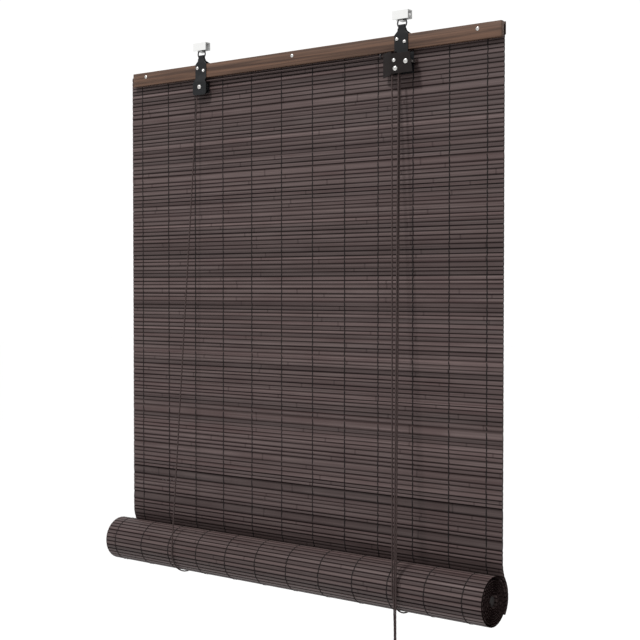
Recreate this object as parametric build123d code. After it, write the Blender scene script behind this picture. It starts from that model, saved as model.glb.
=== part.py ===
"""Bamboo roll up blind, hung from two ceiling brackets and half rolled up.

Millimetres. +X to the right, the room is at -Y, +Z up. The origin is the middle of the two
ceiling screws, on the ceiling's face.
"""
import os
from math import acos, atan, atan2, cos, pi, radians, sin, tan

from build123d import *

# ---------------------------------------------------------------- hanging points
hanger_x = 217.0            # each hanger, left and right of the middle
screw_offset = 10.0         # screw hole outside its bracket's middle
screw_hole_r = 2.2
bracket_width = 30.0
bracket_depth = 13.0
bracket_height = 14.0
bracket_sheet = 1.5
tongue_width = 7.0

# ---------------------------------------------------------------- mat and battens
mat_width = 800.0
mat_left = -402.5           # the mat's left edge
mat_y = 8.0                 # the mat's middle plane, behind the hangers' own
slat_thickness = 2.2
slat_pitch = 7.0
slat_gap = 0.8
wide_rows = (11, 27, 88, 98, 105, 112)      # rows where one wide slat takes two pitches
thread_first = 27.0         # first thread column from the mat's left edge
thread_pitch = 67.7
thread_count = 12
thread_width = 1.6
thread_thickness = 0.5
thread_gap = 0.13           # clears the corners of the flat slats where the mat is bent

batten_left = -391.5
batten_length = 789.0
batten_top = -38.0
batten_height = 24.6
batten_thickness = 8.0
batten_clearance = 0.1      # to the threads it clamps
batten_edge = 0.6
strip_thickness = 3.0
strip_height = 20.0
nail_from_left = (33.5, 384.5, 747.2)
nail_drop = 8.1
nail_shank_r = 0.8
nail_head_r = 3.3
nail_head_h = 1.7
hole_clearance = 0.05

# ---------------------------------------------------------------- roll
roll_z = -915.0
roll_radius = 38.6
turn_pitch = 3.6
half_turns = 16             # of the spiral, the first two as one round turn
roll_behind = 15.2          # the roll's back behind the mat's middle plane
core_clearance = 0.3
bend_height = 56.0          # the stretch in which the mat leans back onto the roll
wrapped_rows = 4            # rows that then follow the roll down round its back
joint_gap = 0.3             # between pieces of different bodies

# ---------------------------------------------------------------- straps and rings
sheet = 1.2
strap_half = 13.0
neck_half = 6.0
collar_half = 7.4
fold_z = -24.0
ring_wire_r = 1.2
ring_top_z = -14.2
ring_half_top = 7.4
ring_half_mid = 8.8
ring_half_low = 7.6
ring_mid_z = -19.5
rivet_shank_r = 1.5
strap_rivets = ((-8.2, 6.5), (6.2, 11.7))   # from the strap's middle, below the batten's top
strap_rivet_head_r = 3.3
rivet_head_h = 2.1
rear_leg_end = -60.0

# ---------------------------------------------------------------- left pulley
pulley_plate_half = 16.1
pulley_plate_top = -68.5
pulley_plate_low = -93.5
pulley_plate_corner = 5.0
pulley_step = 3.6           # the front plate's face before the strap's
plate_to_mat = 1.2          # from the back plate to the warp threads
pulley_back_plate = 1.0
pulley_z = -79.0
pulley_pitch_r = 10.0
pulley_width = 7.4
pulley_rim = 1.9            # rim above the cord's middle line
big_head_r = 4.2

# ---------------------------------------------------------------- cord lock
lock_depth = 10.5           # the cover's face before the strap's
guide_dx = -6.8             # rivets from the strap's middle
guide_z = -79.3
guide_pitch_r = 6.2
guide_rim = 1.7
rear_groove_out = 2.2       # the rear groove before the strap's face
groove_spacing = 4.0
guide_flange = 2.1          # the wheel's side from its groove's middle
anvil_dx = -4.3
anvil_z = -92.5
cam_dx = 15.5
cam_z = -83.0
cam_hub_r = 4.6
cam_width = 7.6
cam_tail = 12.0
cam_teeth = 5
fold_past_guide = 1.2       # the cover's fold, in from the guide pulley's left side
wing_dx = -34.8
wing_end_in = 0.5           # the wing's end behind the strap's face
wing_top = -65.0
wing_low = -104.0
cover_top = -68.5
cover_low = -100.5
cover_right_top = 23.2
cover_right_low = 28.5
lock_exit_z = -101.0

# ---------------------------------------------------------------- cords
cord_r = 1.25
cord_gap = 0.3              # from a cord to a wheel or the cam
sling_gap = 1.0             # from a lift cord to the roll and its threads
lift_left_x = -241.0        # where each lift cord passes round the roll
lift_right_x = 238.0
rear_eye_left_x = -237.0
rear_eye_right_x = 237.0
rear_eye_z = -49.0
entry_eye_x = 176.0
entry_eye_in = 2.8          # behind the batten's face
entry_eye_z = -67.3
eye_r = 3.3
eye_wire_r = 0.8
eye_shank = 6.0

# ---------------------------------------------------------------- hank and tassel
hank_x = 243.7
hank_y = -56.5
hank_top = -1000.0
hank_straight = 38.0
hank_outer_r = 10.5         # middle line of the outer turns' round ends
hank_inner_r = 7.9
hank_layers = 3             # turns of one cord side by side, outer and inner
hank_layer = 2.6
tie_height = 5.0
tie_thickness = 1.0
tassel_r = 7.5
tassel_height = 30.0
tassel_bore_r = 2.9

# Free lengths of the two pull cords, from the lock to the hank.
pull_cord_left_route = [
    (216.4, -5.2, -101.3), (246.0, -57.5, -900.0), (245.4, -57.8, -941.0),
    (246.2, -58.5, -972.0), (246.6, -59.5, -1000.0),
]
pull_cord_right_route = [
    (216.4, -9.2, -101.3), (242.7, -57.5, -900.0), (242.2, -57.8, -941.0),
    (241.8, -55.6, -972.0), (240.8, -53.5, -1000.0),
]

# ---------------------------------------------------------------- worked out
mat_mid_x = mat_left + mat_width / 2
slat_half = slat_thickness / 2
thread_out = slat_half + thread_gap + thread_thickness
batten_back = mat_y - thread_out - batten_clearance
batten_front = batten_back - batten_thickness
batten_low = batten_top - batten_height
batten_mid_x = batten_left + batten_length / 2
strip_front = mat_y + thread_out + batten_clearance
strip_back = strip_front + strip_thickness
leg_front = batten_front - sheet
leg_back = strip_back + sheet
roll_y = mat_y + roll_behind - roll_radius
mat_end_y = roll_y + roll_radius + joint_gap + thread_out
wrap_radius = mat_end_y - roll_y
bend_radius = (bend_height ** 2 + (mat_end_y - mat_y) ** 2) / (4 * (mat_end_y - mat_y))
bend_top = roll_z + bend_height
first_row_top = batten_top - 5.0
sling_front_y = roll_y - roll_radius - sling_gap - cord_r
sling_back_y = mat_end_y + thread_out + sling_gap + cord_r
sling_r = (sling_back_y - sling_front_y) / 2
sling_y = (sling_back_y + sling_front_y) / 2
pulley_plate_y = leg_front - pulley_step
pulley_back_plate_y = mat_y - thread_out - plate_to_mat
pulley_y = (pulley_plate_y + sheet + pulley_back_plate_y - pulley_back_plate) / 2
lock_front_y = leg_front - lock_depth
rear_groove_y = leg_front - rear_groove_out
front_groove_y = rear_groove_y - groove_spacing
wing_y = leg_front + wing_end_in
entry_eye_y = batten_front + entry_eye_in
guide_x = hanger_x + guide_dx
anvil_x = hanger_x + anvil_dx
cam_x = hanger_x + cam_dx
pull_x = guide_x + guide_pitch_r
lock_fold_x = guide_x - guide_pitch_r - guide_rim + fold_past_guide
anvil_r = pull_x - cord_r - joint_gap - anvil_x
hank_mid_z = hank_top - hank_outer_r - cord_r - hank_straight / 2
hank_low = hank_top - hank_straight - 2 * (hank_outer_r + cord_r)
hank_depth = 2 * hank_layers * hank_layer

pieces = {}


# ---------------------------------------------------------------- helpers
def yz_extrude(face_points, x_low, x_high, arcs=()):
    """A closed outline of (y, z) points, extruded along X. An arc's index turns that side round."""
    edges = []
    count = len(face_points)
    for i, start in enumerate(face_points):
        end = face_points[(i + 1) % count]
        a = (x_low, start[0], start[1])
        b = (x_low, end[0], end[1])
        through = dict(arcs).get(i)
        if through:
            edges.append(ThreePointArc(a, (x_low, through[0], through[1]), b))
        else:
            edges.append(Line(a, b))
    return extrude(make_face(edges), amount=x_high - x_low, dir=(1, 0, 0))


def xz_extrude(points, y_low, y_high):
    """A closed polygon of (x, z) points, extruded along Y."""
    outline = Polyline(*[(x, y_low, z) for x, z in points], close=True)
    return extrude(make_face(outline), amount=y_high - y_low, dir=(0, 1, 0))


def along_y(radius, x, y_low, y_high, z):
    """A round bar along Y."""
    bar = Cylinder(radius, y_high - y_low, rotation=(90, 0, 0))
    return Pos(x, (y_low + y_high) / 2, z) * bar


def turned_along_y(profile, x, z, arcs=()):
    """A piece turned about the Y axis through x, z, from (radius, y) points."""
    edges = []
    for i, start in enumerate(profile):
        end = profile[(i + 1) % len(profile)]
        a = (start[0], start[1], 0)
        b = (end[0], end[1], 0)
        through = dict(arcs).get(i)
        if through:
            edges.append(ThreePointArc(a, (through[0], through[1], 0), b))
        else:
            edges.append(Line(a, b))
    return Pos(x, 0, z) * revolve(make_face(edges), Axis.Y, 360)


def dome_rivet(x, z, y_head, y_tail, head_r, head_h, shank_r=rivet_shank_r, tail_h=0.8):
    """A rivet with a domed head on the face at y_head and a flat tail on the face at y_tail."""
    sphere_r = (head_r ** 2 + head_h ** 2) / (2 * head_h)
    mid_r = head_r * 0.6
    mid_y = y_head - head_h + sphere_r - (sphere_r ** 2 - mid_r ** 2) ** 0.5
    tail_r = shank_r + 1.2
    profile = [
        (0, y_head - head_h), (head_r, y_head), (shank_r, y_head), (shank_r, y_tail),
        (tail_r, y_tail), (tail_r, y_tail + tail_h), (0, y_tail + tail_h),
    ]
    return turned_along_y(profile, x, z, arcs=[(0, (mid_r, mid_y))])


def tube(path, radius=cord_r):
    """A round solid along a path, square to the path at its start."""
    section = Plane(origin=path @ 0, z_dir=path % 0) * Circle(radius)
    return sweep(section, path=path)


def corner_radii(points):
    """For each corner of a cord's route, the largest arc that its two runs allow."""
    radii = []
    for a, b, c in zip(points, points[1:], points[2:]):
        first = Vector(*b) - Vector(*a)
        second = Vector(*c) - Vector(*b)
        half_turn = radians(first.get_angle(second)) / 2
        radii.append(0.45 * min(first.length, second.length) / tan(half_turn))
    return radii


def free_cord(name, points):
    """A plain tube along a free cord's route, with its length and radii printed."""
    radii = corner_radii(points)
    path = FilletPolyline(*points, radius=radii)
    solid = tube(path)
    expected = pi * cord_r ** 2 * path.length
    print(name, "length %.0f" % path.length, "radii", [round(r) for r in radii],
          "volume ratio %.4f" % (solid.volume / expected))
    return solid


def lean_max():
    """How far the mat leans from upright in the middle of its bend, in radians."""
    return 2 * atan((mat_end_y - mat_y) / bend_height)


def bend_length():
    """The length of the mat's two opposite bends, from upright to upright again."""
    return 2 * bend_radius * lean_max()


def mat_length():
    """The mat's length from the first row's top to its last row before the roll's own."""
    return first_row_top - bend_top + bend_length() + wrapped_rows * slat_pitch


def mat_point(drop):
    """The mat's middle line at a distance down it: y, z and lean in radians."""
    along = drop - (first_row_top - bend_top)
    if along <= 0:
        return mat_y, first_row_top - drop, 0.0
    angle = along / bend_radius
    if angle <= lean_max():
        return mat_y + bend_radius * (1 - cos(angle)), bend_top - bend_radius * sin(angle), angle
    rest = 2 * lean_max() - angle
    if rest >= 0:
        return mat_end_y - bend_radius * (1 - cos(rest)), roll_z + bend_radius * sin(rest), rest
    angle = (along - bend_length()) / wrap_radius
    return roll_y + wrap_radius * cos(angle), roll_z - wrap_radius * sin(angle), -angle


def through_holes():
    """The nail and strap rivet shanks' holes, as bars right through the battens and the mat."""
    bars = []
    for from_left in nail_from_left:
        bars.append(along_y(nail_shank_r + hole_clearance, batten_left + from_left,
                            batten_front - 1, strip_back + 1, batten_top - nail_drop))
    for side in (-1, 1):
        for dx, drop in strap_rivets:
            bars.append(along_y(rivet_shank_r + hole_clearance, side * hanger_x + dx,
                                batten_front - 1, strip_back + 1, batten_top - drop))
    return bars


# ---------------------------------------------------------------- battens and mat
def build_batten():
    """The front batten, softened along its edges, with its nail, rivet and eye holes."""
    block = Pos(batten_mid_x, batten_back - batten_thickness / 2, batten_top - batten_height / 2) \
        * Box(batten_length, batten_thickness, batten_height)
    block = fillet(block.edges().filter_by(Axis.X), batten_edge)
    for bar in through_holes():
        block -= bar
    eye_hole = Cylinder(eye_wire_r + hole_clearance, eye_shank + 1)
    return block - Pos(entry_eye_x, entry_eye_y, batten_low + (eye_shank - 1) / 2 + 0.2) * eye_hole


def build_rear_strip():
    """The thin strip that clamps the mat's top behind the batten."""
    block = Pos(batten_mid_x, (strip_front + strip_back) / 2, batten_top - strip_height / 2) \
        * Box(batten_length, strip_thickness, strip_height)
    for bar in through_holes():
        block -= bar
    for x in (rear_eye_left_x, rear_eye_right_x):
        block -= along_y(eye_wire_r + hole_clearance, x, strip_front - 1, strip_back + 1, rear_eye_z)
    return block


def build_nails():
    """Dome nails through the batten, the mat and the rear strip."""
    return [
        dome_rivet(batten_left + from_left, batten_top - nail_drop, batten_front, strip_back,
                   nail_head_r, nail_head_h, nail_shank_r, tail_h=0.6)
        for from_left in nail_from_left
    ]


def build_slats():
    """The mat's slats, row after row: narrow and wide ones that hang, and those in its bend."""
    narrow, wide, bend = [], [], []
    holes = through_holes()
    row = 0
    while row < int(mat_length() / slat_pitch):
        pitches = 2 if row in wide_rows else 1
        drop = (row + pitches / 2) * slat_pitch
        y, z, lean = mat_point(drop)
        slat = Box(mat_width, slat_thickness, pitches * slat_pitch - slat_gap)
        slat = Pos(mat_mid_x, y, z) * Rot(lean * 180 / pi, 0, 0) * slat
        if z > batten_low:
            for bar in holes:
                slat -= bar
        if drop > first_row_top - bend_top:
            bend.append(slat)
        elif pitches == 2:
            wide.append(slat)
        else:
            narrow.append(slat)
        row += pitches
    return narrow, wide, bend


def thread_columns():
    """Each thread column's left side."""
    first = mat_left + thread_first - thread_width / 2
    return [first + i * thread_pitch for i in range(thread_count)]


def hanging_thread(x):
    """One column's warp thread where the mat hangs: a thin band down its face and up its back."""
    thread_in = thread_out - thread_thickness
    low = bend_top + joint_gap / 2
    outer = [(mat_y - thread_out, first_row_top + thread_gap + thread_thickness),
             (mat_y + thread_out, first_row_top + thread_gap + thread_thickness),
             (mat_y + thread_out, low), (mat_y + thread_in, low),
             (mat_y + thread_in, first_row_top + thread_gap),
             (mat_y - thread_in, first_row_top + thread_gap), (mat_y - thread_in, low),
             (mat_y - thread_out, low)]
    return yz_extrude(outer, x, x + thread_width)


def bend_thread(x):
    """The same thread in the bend: down its face, round the last row and up its back."""
    rows_end = mat_length() - mat_length() % slat_pitch
    sides = []
    for offset in (-thread_out, thread_out - thread_thickness, thread_out,
                   thread_thickness - thread_out):
        grow = thread_gap + (thread_thickness if abs(offset) == thread_out else 0)
        sides.append(mat_side(x, offset, rows_end + grow))
    front_out, back_in, back_out, front_in = sides
    edges = front_out + front_in + back_out + back_in
    edges.append(Line(front_out[0] @ 0, front_in[0] @ 0))
    edges.append(Line(back_out[0] @ 0, back_in[0] @ 0))
    edges.append(Line(front_out[-1] @ 1, back_out[-1] @ 1))
    edges.append(Line(front_in[-1] @ 1, back_in[-1] @ 1))
    return extrude(make_face(edges), amount=thread_width, dir=(1, 0, 0))


def mat_side(x, offset, end_drop):
    """The bend's arcs and the wrap's at an offset from the mat's middle line, down to end_drop."""
    lean = lean_max()
    first = joint_gap / 2 / bend_radius
    last = (end_drop - (first_row_top - bend_top) - bend_length()) / wrap_radius

    def upper(angle):
        r = bend_radius - offset
        return (x, mat_y + bend_radius - r * cos(angle), bend_top - r * sin(angle))

    def lower(angle):
        r = bend_radius + offset
        return (x, mat_end_y - bend_radius + r * cos(angle), roll_z + r * sin(angle))

    def wrapped(angle):
        r = wrap_radius + offset
        return (x, roll_y + r * cos(angle), roll_z - r * sin(angle))

    return [
        ThreePointArc(upper(first), upper(lean / 2), upper(lean)),
        ThreePointArc(lower(lean), lower(lean / 2), lower(0)),
        ThreePointArc(wrapped(0), wrapped(last / 2), wrapped(last)),
    ]


# ---------------------------------------------------------------- roll
def build_roll():
    """The rolled part of the mat: a round outer turn, with a spiral band of half circles inside."""
    outer = []
    inner = []
    for i in range(2, half_turns):
        radius = roll_radius - i * turn_pitch / 2
        centre = roll_y if i % 2 == 0 else roll_y - turn_pitch / 2
        side = 1 if i % 2 == 0 else -1
        for line, r in ((outer, radius), (inner, radius - slat_thickness)):
            line.append(ThreePointArc(
                (mat_left, centre + side * r, roll_z),
                (mat_left, centre, roll_z - side * r),
                (mat_left, centre - side * r, roll_z),
            ))
    ends = [Line(outer[0] @ 0, inner[0] @ 0), Line(outer[-1] @ 1, inner[-1] @ 1)]
    spiral = extrude(make_face(outer + inner + ends), amount=mat_width, dir=(1, 0, 0))
    turn = Cylinder(roll_radius, mat_width, rotation=(0, 90, 0)) \
        - Cylinder(roll_radius - slat_thickness, mat_width + 2, rotation=(0, 90, 0))
    first = roll_radius - turn_pitch
    lap_low = first - slat_thickness / 2
    lap_high = roll_radius - slat_thickness / 2
    lap = Box(mat_width, lap_high - lap_low, slat_thickness)
    lap = Pos(mat_mid_x, roll_y + (lap_low + lap_high) / 2, roll_z - slat_half) * lap
    return spiral + Pos(mat_mid_x, roll_y, roll_z) * turn + lap


def core_radius():
    """The core rod fills the spiral's eye, with a little room."""
    last = roll_radius - (half_turns - 1) * turn_pitch / 2 - slat_thickness
    return last - turn_pitch / 4 - core_clearance


def build_core():
    """The wooden rod that the mat's lower end is wound on."""
    rod = Cylinder(core_radius(), mat_width - 10, rotation=(0, 90, 0))
    return Pos(mat_mid_x, roll_y - turn_pitch / 4, roll_z) * rod


# ---------------------------------------------------------------- hanging hardware
def build_bracket(side):
    """A ceiling bracket: a folded channel with a tongue from its rear wall under the ring."""
    x = side * hanger_x
    half = bracket_width / 2
    back = bracket_depth / 2
    channel = Pos(x, 0, -bracket_height / 2) * Box(bracket_width, bracket_depth, bracket_height)
    hollow = Box(bracket_width + 2, bracket_depth - 2 * bracket_sheet, bracket_height)
    channel -= Pos(x, 0, -bracket_height / 2 - bracket_sheet) * hollow
    seat = ring_top_z - ring_wire_r - 0.1
    tongue = yz_extrude(
        [(back, -bracket_height), (back, seat - bracket_sheet), (-3.0, seat - bracket_sheet),
         (-3.0, seat + 0.7), (-1.7, seat + 0.4), (-1.7, seat), (back - bracket_sheet, seat),
         (back - bracket_sheet, -bracket_height)],
        x - tongue_width / 2, x + tongue_width / 2)
    hole = Pos(x + side * screw_offset, 0, 0) * Cylinder(screw_hole_r, 4 * bracket_sheet)
    return channel + tongue - hole


def build_ring(side):
    """The wire ring that the strap is folded round and the bracket's tongue carries."""
    x = side * hanger_x
    points = [
        (x - ring_half_top, 0, ring_top_z), (x + ring_half_top, 0, ring_top_z),
        (x + ring_half_mid, 0, ring_mid_z), (x + ring_half_low, 0, fold_z),
        (x - ring_half_low, 0, fold_z), (x - ring_half_mid, 0, ring_mid_z),
    ]
    path = FilletPolyline(*points, radius=[1.5, 1.5, 2.5, 1.4, 1.4, 2.5], close=True)
    start = path @ 0
    return sweep(Plane(origin=start, z_dir=path % 0) * Circle(ring_wire_r), path=path)


def strap_profile(front_points):
    """The strap seen from its end: up the batten's front, over the ring's wire and down the back.

    front_points run from the front leg's outer side down round its lower end and up again.
    """
    inner = ring_wire_r + 0.1
    outer = inner + sheet
    neck_low = fold_z - 6.5
    shoulder = batten_top + 0.3
    rise = 0.5
    outline = [
        (-outer, fold_z), (outer, fold_z), (outer, neck_low), (leg_back, shoulder + rise),
        (leg_back, rear_leg_end), (strip_back, rear_leg_end), (strip_back, shoulder),
        (inner, neck_low - rise), (inner, fold_z), (-inner, fold_z), (-inner, neck_low - rise),
        (batten_front, shoulder),
    ]
    outline += front_points
    outline += [(leg_front, shoulder + rise), (-outer, neck_low)]
    arcs = [(0, (0, fold_z + outer)), (8, (0, fold_z + inner))]
    return outline, arcs


def strap_outline(x, low_points):
    """The strap seen from the front, above its lower end, which low_points go round."""
    top = fold_z + 5
    left = [(x - neck_half, top), (x - neck_half, fold_z - 3), (x - collar_half, fold_z - 5),
            (x - collar_half, fold_z - 8), (x - strap_half, batten_top)]
    right = [(2 * x - px, pz) for px, pz in reversed(left)]
    return left + low_points + right


def build_left_strap():
    """The left strap. Its front leg steps forward below the batten into the pulley's front plate."""
    x = -hanger_x
    back = pulley_plate_y + sheet
    front_points = [
        (batten_front, batten_low - 0.4), (back, pulley_plate_top + 0.4),
        (back, pulley_plate_low), (pulley_plate_y, pulley_plate_low),
        (pulley_plate_y, pulley_plate_top), (leg_front, batten_low - 0.1),
    ]
    outline, arcs = strap_profile(front_points)
    body = yz_extrude(outline, x - pulley_plate_half, x + pulley_plate_half, arcs)
    half = pulley_plate_half
    cut = 0.3 * pulley_plate_corner
    corner = pulley_plate_corner
    left_low = [
        (x - strap_half, pulley_plate_top), (x - half + cut, pulley_plate_top - cut),
        (x - half, pulley_plate_top - corner), (x - half, pulley_plate_low + corner),
        (x - half + cut, pulley_plate_low + cut), (x - half + corner, pulley_plate_low),
    ]
    right_low = [(2 * x - px, pz) for px, pz in reversed(left_low)]
    body &= xz_extrude(strap_outline(x, left_low + right_low), -20, 20)
    for dx, drop in strap_rivets:
        body -= along_y(rivet_shank_r + hole_clearance, x + dx, -20, 20, batten_top - drop)
    return body - along_y(rivet_shank_r + hole_clearance, x, -20, 20, pulley_z)


def build_right_strap():
    """The right strap. Its front leg runs on down as the lock's back plate."""
    x = hanger_x
    front_points = [(batten_front, cover_low), (leg_front, cover_low)]
    outline, arcs = strap_profile(front_points)
    body = yz_extrude(outline, x - 30, x + 30, arcs)
    notch = x - strap_half + 5
    plate_right = x + 24
    low = [
        (x - strap_half, batten_low - 1.5), (notch, batten_low - 1.5), (notch, guide_z),
        (x - strap_half, guide_z), (x - strap_half, cover_low), (plate_right, cover_low),
        (plate_right, cover_top + 1), (x + strap_half, cover_top + 1),
    ]
    body &= xz_extrude(strap_outline(x, low), -20, 20)
    for dx, drop in strap_rivets:
        body -= along_y(rivet_shank_r + hole_clearance, x + dx, -20, 20, batten_top - drop)
    for px, pz in lock_axes():
        body -= along_y(rivet_shank_r + hole_clearance, px, -20, leg_back - 10, pz)
    return body


def build_strap_rivets(side):
    """Two dome rivets through the strap's legs, the battens and the mat between them."""
    return [
        dome_rivet(side * hanger_x + dx, batten_top - drop, leg_front, leg_back,
                   strap_rivet_head_r, rivet_head_h)
        for dx, drop in strap_rivets
    ]


def grooved_wheel(x, z, y_low, y_high, groove_ys, pitch_r, rim):
    """A wheel along Y with one round-bottomed groove for each cord, and a running bore."""
    outer_r = pitch_r + rim
    wheel = along_y(outer_r, x, y_low, y_high, z)
    groove_r = cord_r + cord_gap
    for y in groove_ys:
        ring = Torus(pitch_r, groove_r, rotation=(90, 0, 0))
        mouth = [(pitch_r, y - groove_r), (outer_r + 1, y - groove_r - 0.3),
                 (outer_r + 1, y + groove_r + 0.3), (pitch_r, y + groove_r)]
        wheel -= Pos(x, y, z) * ring
        wheel -= turned_along_y(mouth, x, z)
    return wheel - along_y(rivet_shank_r + 0.06, x, y_low - 1, y_high + 1, z)


def build_left_pulley():
    """The left pulley's wheel, its back plate and the rivet that it turns on."""
    x = -hanger_x
    wheel = grooved_wheel(x, pulley_z, pulley_y - pulley_width / 2, pulley_y + pulley_width / 2,
                          [pulley_y], pulley_pitch_r, pulley_rim)
    half = pulley_plate_half - 3
    plate = Pos(x, pulley_back_plate_y - pulley_back_plate / 2, pulley_z - 1) \
        * Box(2 * half, pulley_back_plate, 20)
    plate = fillet(plate.edges().filter_by(Axis.Y), 3)
    plate -= along_y(rivet_shank_r + hole_clearance, x, -20, 20, pulley_z)
    rivet = dome_rivet(x, pulley_z, pulley_plate_y, pulley_back_plate_y, big_head_r,
                       rivet_head_h + 0.4, tail_h=0.6)
    return wheel, plate, rivet


# ---------------------------------------------------------------- cord lock
def lock_axes():
    """Where the lock's three rivets stand: guide pulley, anvil and cam."""
    return ((guide_x, guide_z), (anvil_x, anvil_z), (cam_x, cam_z))


def build_lock_cover():
    """The lock's cover: a flat front plate, bent back on its left as a wing beside the cords."""
    right = hanger_x + cover_right_low
    fold = lock_fold_x
    wing = hanger_x + wing_dx
    back_y = lock_front_y + sheet
    points = [
        (right, lock_front_y), (fold, lock_front_y), (wing, wing_y), (wing + 0.6, wing_y + sheet),
        (fold + 0.3, back_y), (right, back_y),
    ]
    outline = Polyline(*[(x, y, wing_low) for x, y in points], close=True)
    body = extrude(make_face(outline), amount=wing_top - wing_low, dir=(0, 0, 1))
    face = [
        (wing - 1, wing_top), (fold, wing_top), (fold + 2, cover_top),
        (hanger_x + cover_right_top, cover_top), (right, cover_low), (fold + 2, cover_low),
        (fold, wing_low + 1), (wing - 1, wing_low),
    ]
    body &= xz_extrude(face, lock_front_y - 1, wing_y + 5)
    for x, z in lock_axes():
        body -= along_y(rivet_shank_r + hole_clearance, x, -30, 0, z)
    return body


def build_lock_rivets():
    """The guide's small rivet and the anvil's and cam's big ones, right through the lock."""
    small = dome_rivet(guide_x, guide_z, lock_front_y, batten_front, strap_rivet_head_r, rivet_head_h)
    anvil = dome_rivet(anvil_x, anvil_z, lock_front_y, batten_front, big_head_r, rivet_head_h + 0.4)
    cam = dome_rivet(cam_x, cam_z, lock_front_y, batten_front, big_head_r, rivet_head_h + 0.4)
    return small, anvil, cam


def build_anvil():
    """The bush beside the cords that the cam squeezes them against."""
    low = lock_front_y + sheet
    bush = along_y(anvil_r, anvil_x, low, leg_front, anvil_z)
    return bush - along_y(rivet_shank_r + hole_clearance, anvil_x, low - 1, leg_front + 1, anvil_z)


def build_cam():
    """The toothed cam: its nose faces the cords at the anvil, its tail passes the cover's edge."""
    tip_x = pull_x + cord_r + cord_gap
    low = (lock_front_y + sheet + leg_front - cam_width) / 2
    nose = [(cam_x - 1.5, cam_z + cam_hub_r - 0.2)]
    span = 8.0
    for i in range(cam_teeth + 1):
        z = anvil_z + span / 2 - span * i / cam_teeth
        nose.append((tip_x + 1.1, z + 0.5 * span / cam_teeth))
        if i < cam_teeth:
            nose.append((tip_x, z))
    nose.append((cam_x + 1.0, cam_z - cam_hub_r + 0.2))
    body = along_y(cam_hub_r, cam_x, low, low + cam_width, cam_z)
    body += xz_extrude(nose, low, low + cam_width)
    tail = [
        (cam_x, cam_z + 2.4), (cam_x + cam_tail - 1, cam_z + 0.8), (cam_x + cam_tail, cam_z),
        (cam_x + cam_tail, cam_z - 2.6), (cam_x, cam_z - 3.4),
    ]
    body += xz_extrude(tail, low, low + cam_width)
    return body - along_y(rivet_shank_r + 0.06, cam_x, low - 1, low + cam_width + 1, cam_z)


# ---------------------------------------------------------------- cords
def eye_ring(x, y, z, face_z=None, face_y=None):
    """A wire screw eye round the X axis, its shank standing up into a batten or back into a strip."""
    ring = Pos(x, y, z) * Torus(eye_r, eye_wire_r, rotation=(0, 90, 0))
    if face_z is not None:
        start = z + eye_r
        shank = Pos(x, y, (start + face_z + eye_shank) / 2) \
            * Cylinder(eye_wire_r, face_z + eye_shank - start)
        return ring + shank
    shank = along_y(eye_wire_r, x, face_y, y - eye_r, z)
    return ring + shank


def lift_cord(top, x_roll):
    """The front run of a lift cord, from its wheel down to the front of the roll."""
    bottom = (x_roll, sling_front_y, roll_z + joint_gap)
    return tube(Line(top, bottom))


def lift_sling(x):
    """The run of a lift cord that passes under the roll, from its front to its back."""
    arc = ThreePointArc((x, sling_front_y, roll_z), (x, sling_y, roll_z - sling_r),
                        (x, sling_back_y, roll_z))
    return tube(arc)


def back_cord(x_eye, x_roll):
    """The run of a lift cord behind the mat, from its rear eye down to the back of the roll."""
    eye_y = strip_back + 1.2 + eye_r
    start = (x_eye, eye_y, rear_eye_z - eye_r - eye_wire_r - 0.1 - cord_r)
    return tube(Line(start, (x_roll, sling_back_y, roll_z + joint_gap)))


def build_crossover():
    """The left cord: over the left wheel, along under the batten, through the eye and the lock."""
    x = -hanger_x
    r = pulley_pitch_r
    s = r * sin(pi / 4)
    over_left = ThreePointArc((x - r, pulley_y, pulley_z), (x - s, pulley_y, pulley_z + s),
                              (x, pulley_y, pulley_z + r))
    eye_out = (entry_eye_x + 6, entry_eye_y - 0.3, entry_eye_z - 0.8)
    corner_z = guide_corner_z(eye_out[0], eye_out[2])
    lead_x = guide_x - guide_pitch_r - guide_rim
    lead_z = eye_out[2] + (corner_z - eye_out[2]) * (lead_x - eye_out[0]) / (pull_x - eye_out[0])
    points = [
        (x, pulley_y, pulley_z + r), (entry_eye_x - 6, entry_eye_y, entry_eye_z), eye_out,
        (lead_x, rear_groove_y, lead_z), (pull_x, rear_groove_y, corner_z),
        (pull_x, rear_groove_y, lock_exit_z),
    ]
    run = FilletPolyline(*points, radius=[40, 20, 10, guide_pitch_r])
    return tube(over_left + run)


def guide_corner_z(x, z):
    """Where a cord from x, z that just touches the guide pulley's top meets its own way down."""
    reach = ((guide_x - x) ** 2 + (guide_z - z) ** 2) ** 0.5
    angle = atan2(z - guide_z, x - guide_x) - acos(guide_pitch_r / reach)
    touch_x = guide_x + guide_pitch_r * cos(angle)
    touch_z = guide_z + guide_pitch_r * sin(angle)
    return touch_z + (pull_x - touch_x) * (touch_z - z) / (touch_x - x)


def build_right_lock_cord():
    """The right cord inside the lock: up over the guide pulley's front groove and down again."""
    r = guide_pitch_r
    over = ThreePointArc((guide_x - r, front_groove_y, guide_z),
                         (guide_x, front_groove_y, guide_z + r), (pull_x, front_groove_y, guide_z))
    down = Line((pull_x, front_groove_y, guide_z), (pull_x, front_groove_y, lock_exit_z))
    return tube(over + down)


# ---------------------------------------------------------------- hank and tassel
def hank_turns_solid(y_front):
    """The outer shape of one cord's turns: an oblong ring, hank_layers turns deep from y_front."""
    skin = cord_r + 0.04
    shape = SlotCenterToCenter(hank_straight, 2 * (hank_outer_r + skin), rotation=90) \
        - SlotCenterToCenter(hank_straight, 2 * (hank_inner_r - skin), rotation=90)
    ring = extrude(Plane.XZ * shape, amount=-hank_layers * hank_layer)
    return Pos(hank_x, y_front, hank_mid_z) * ring


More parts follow.
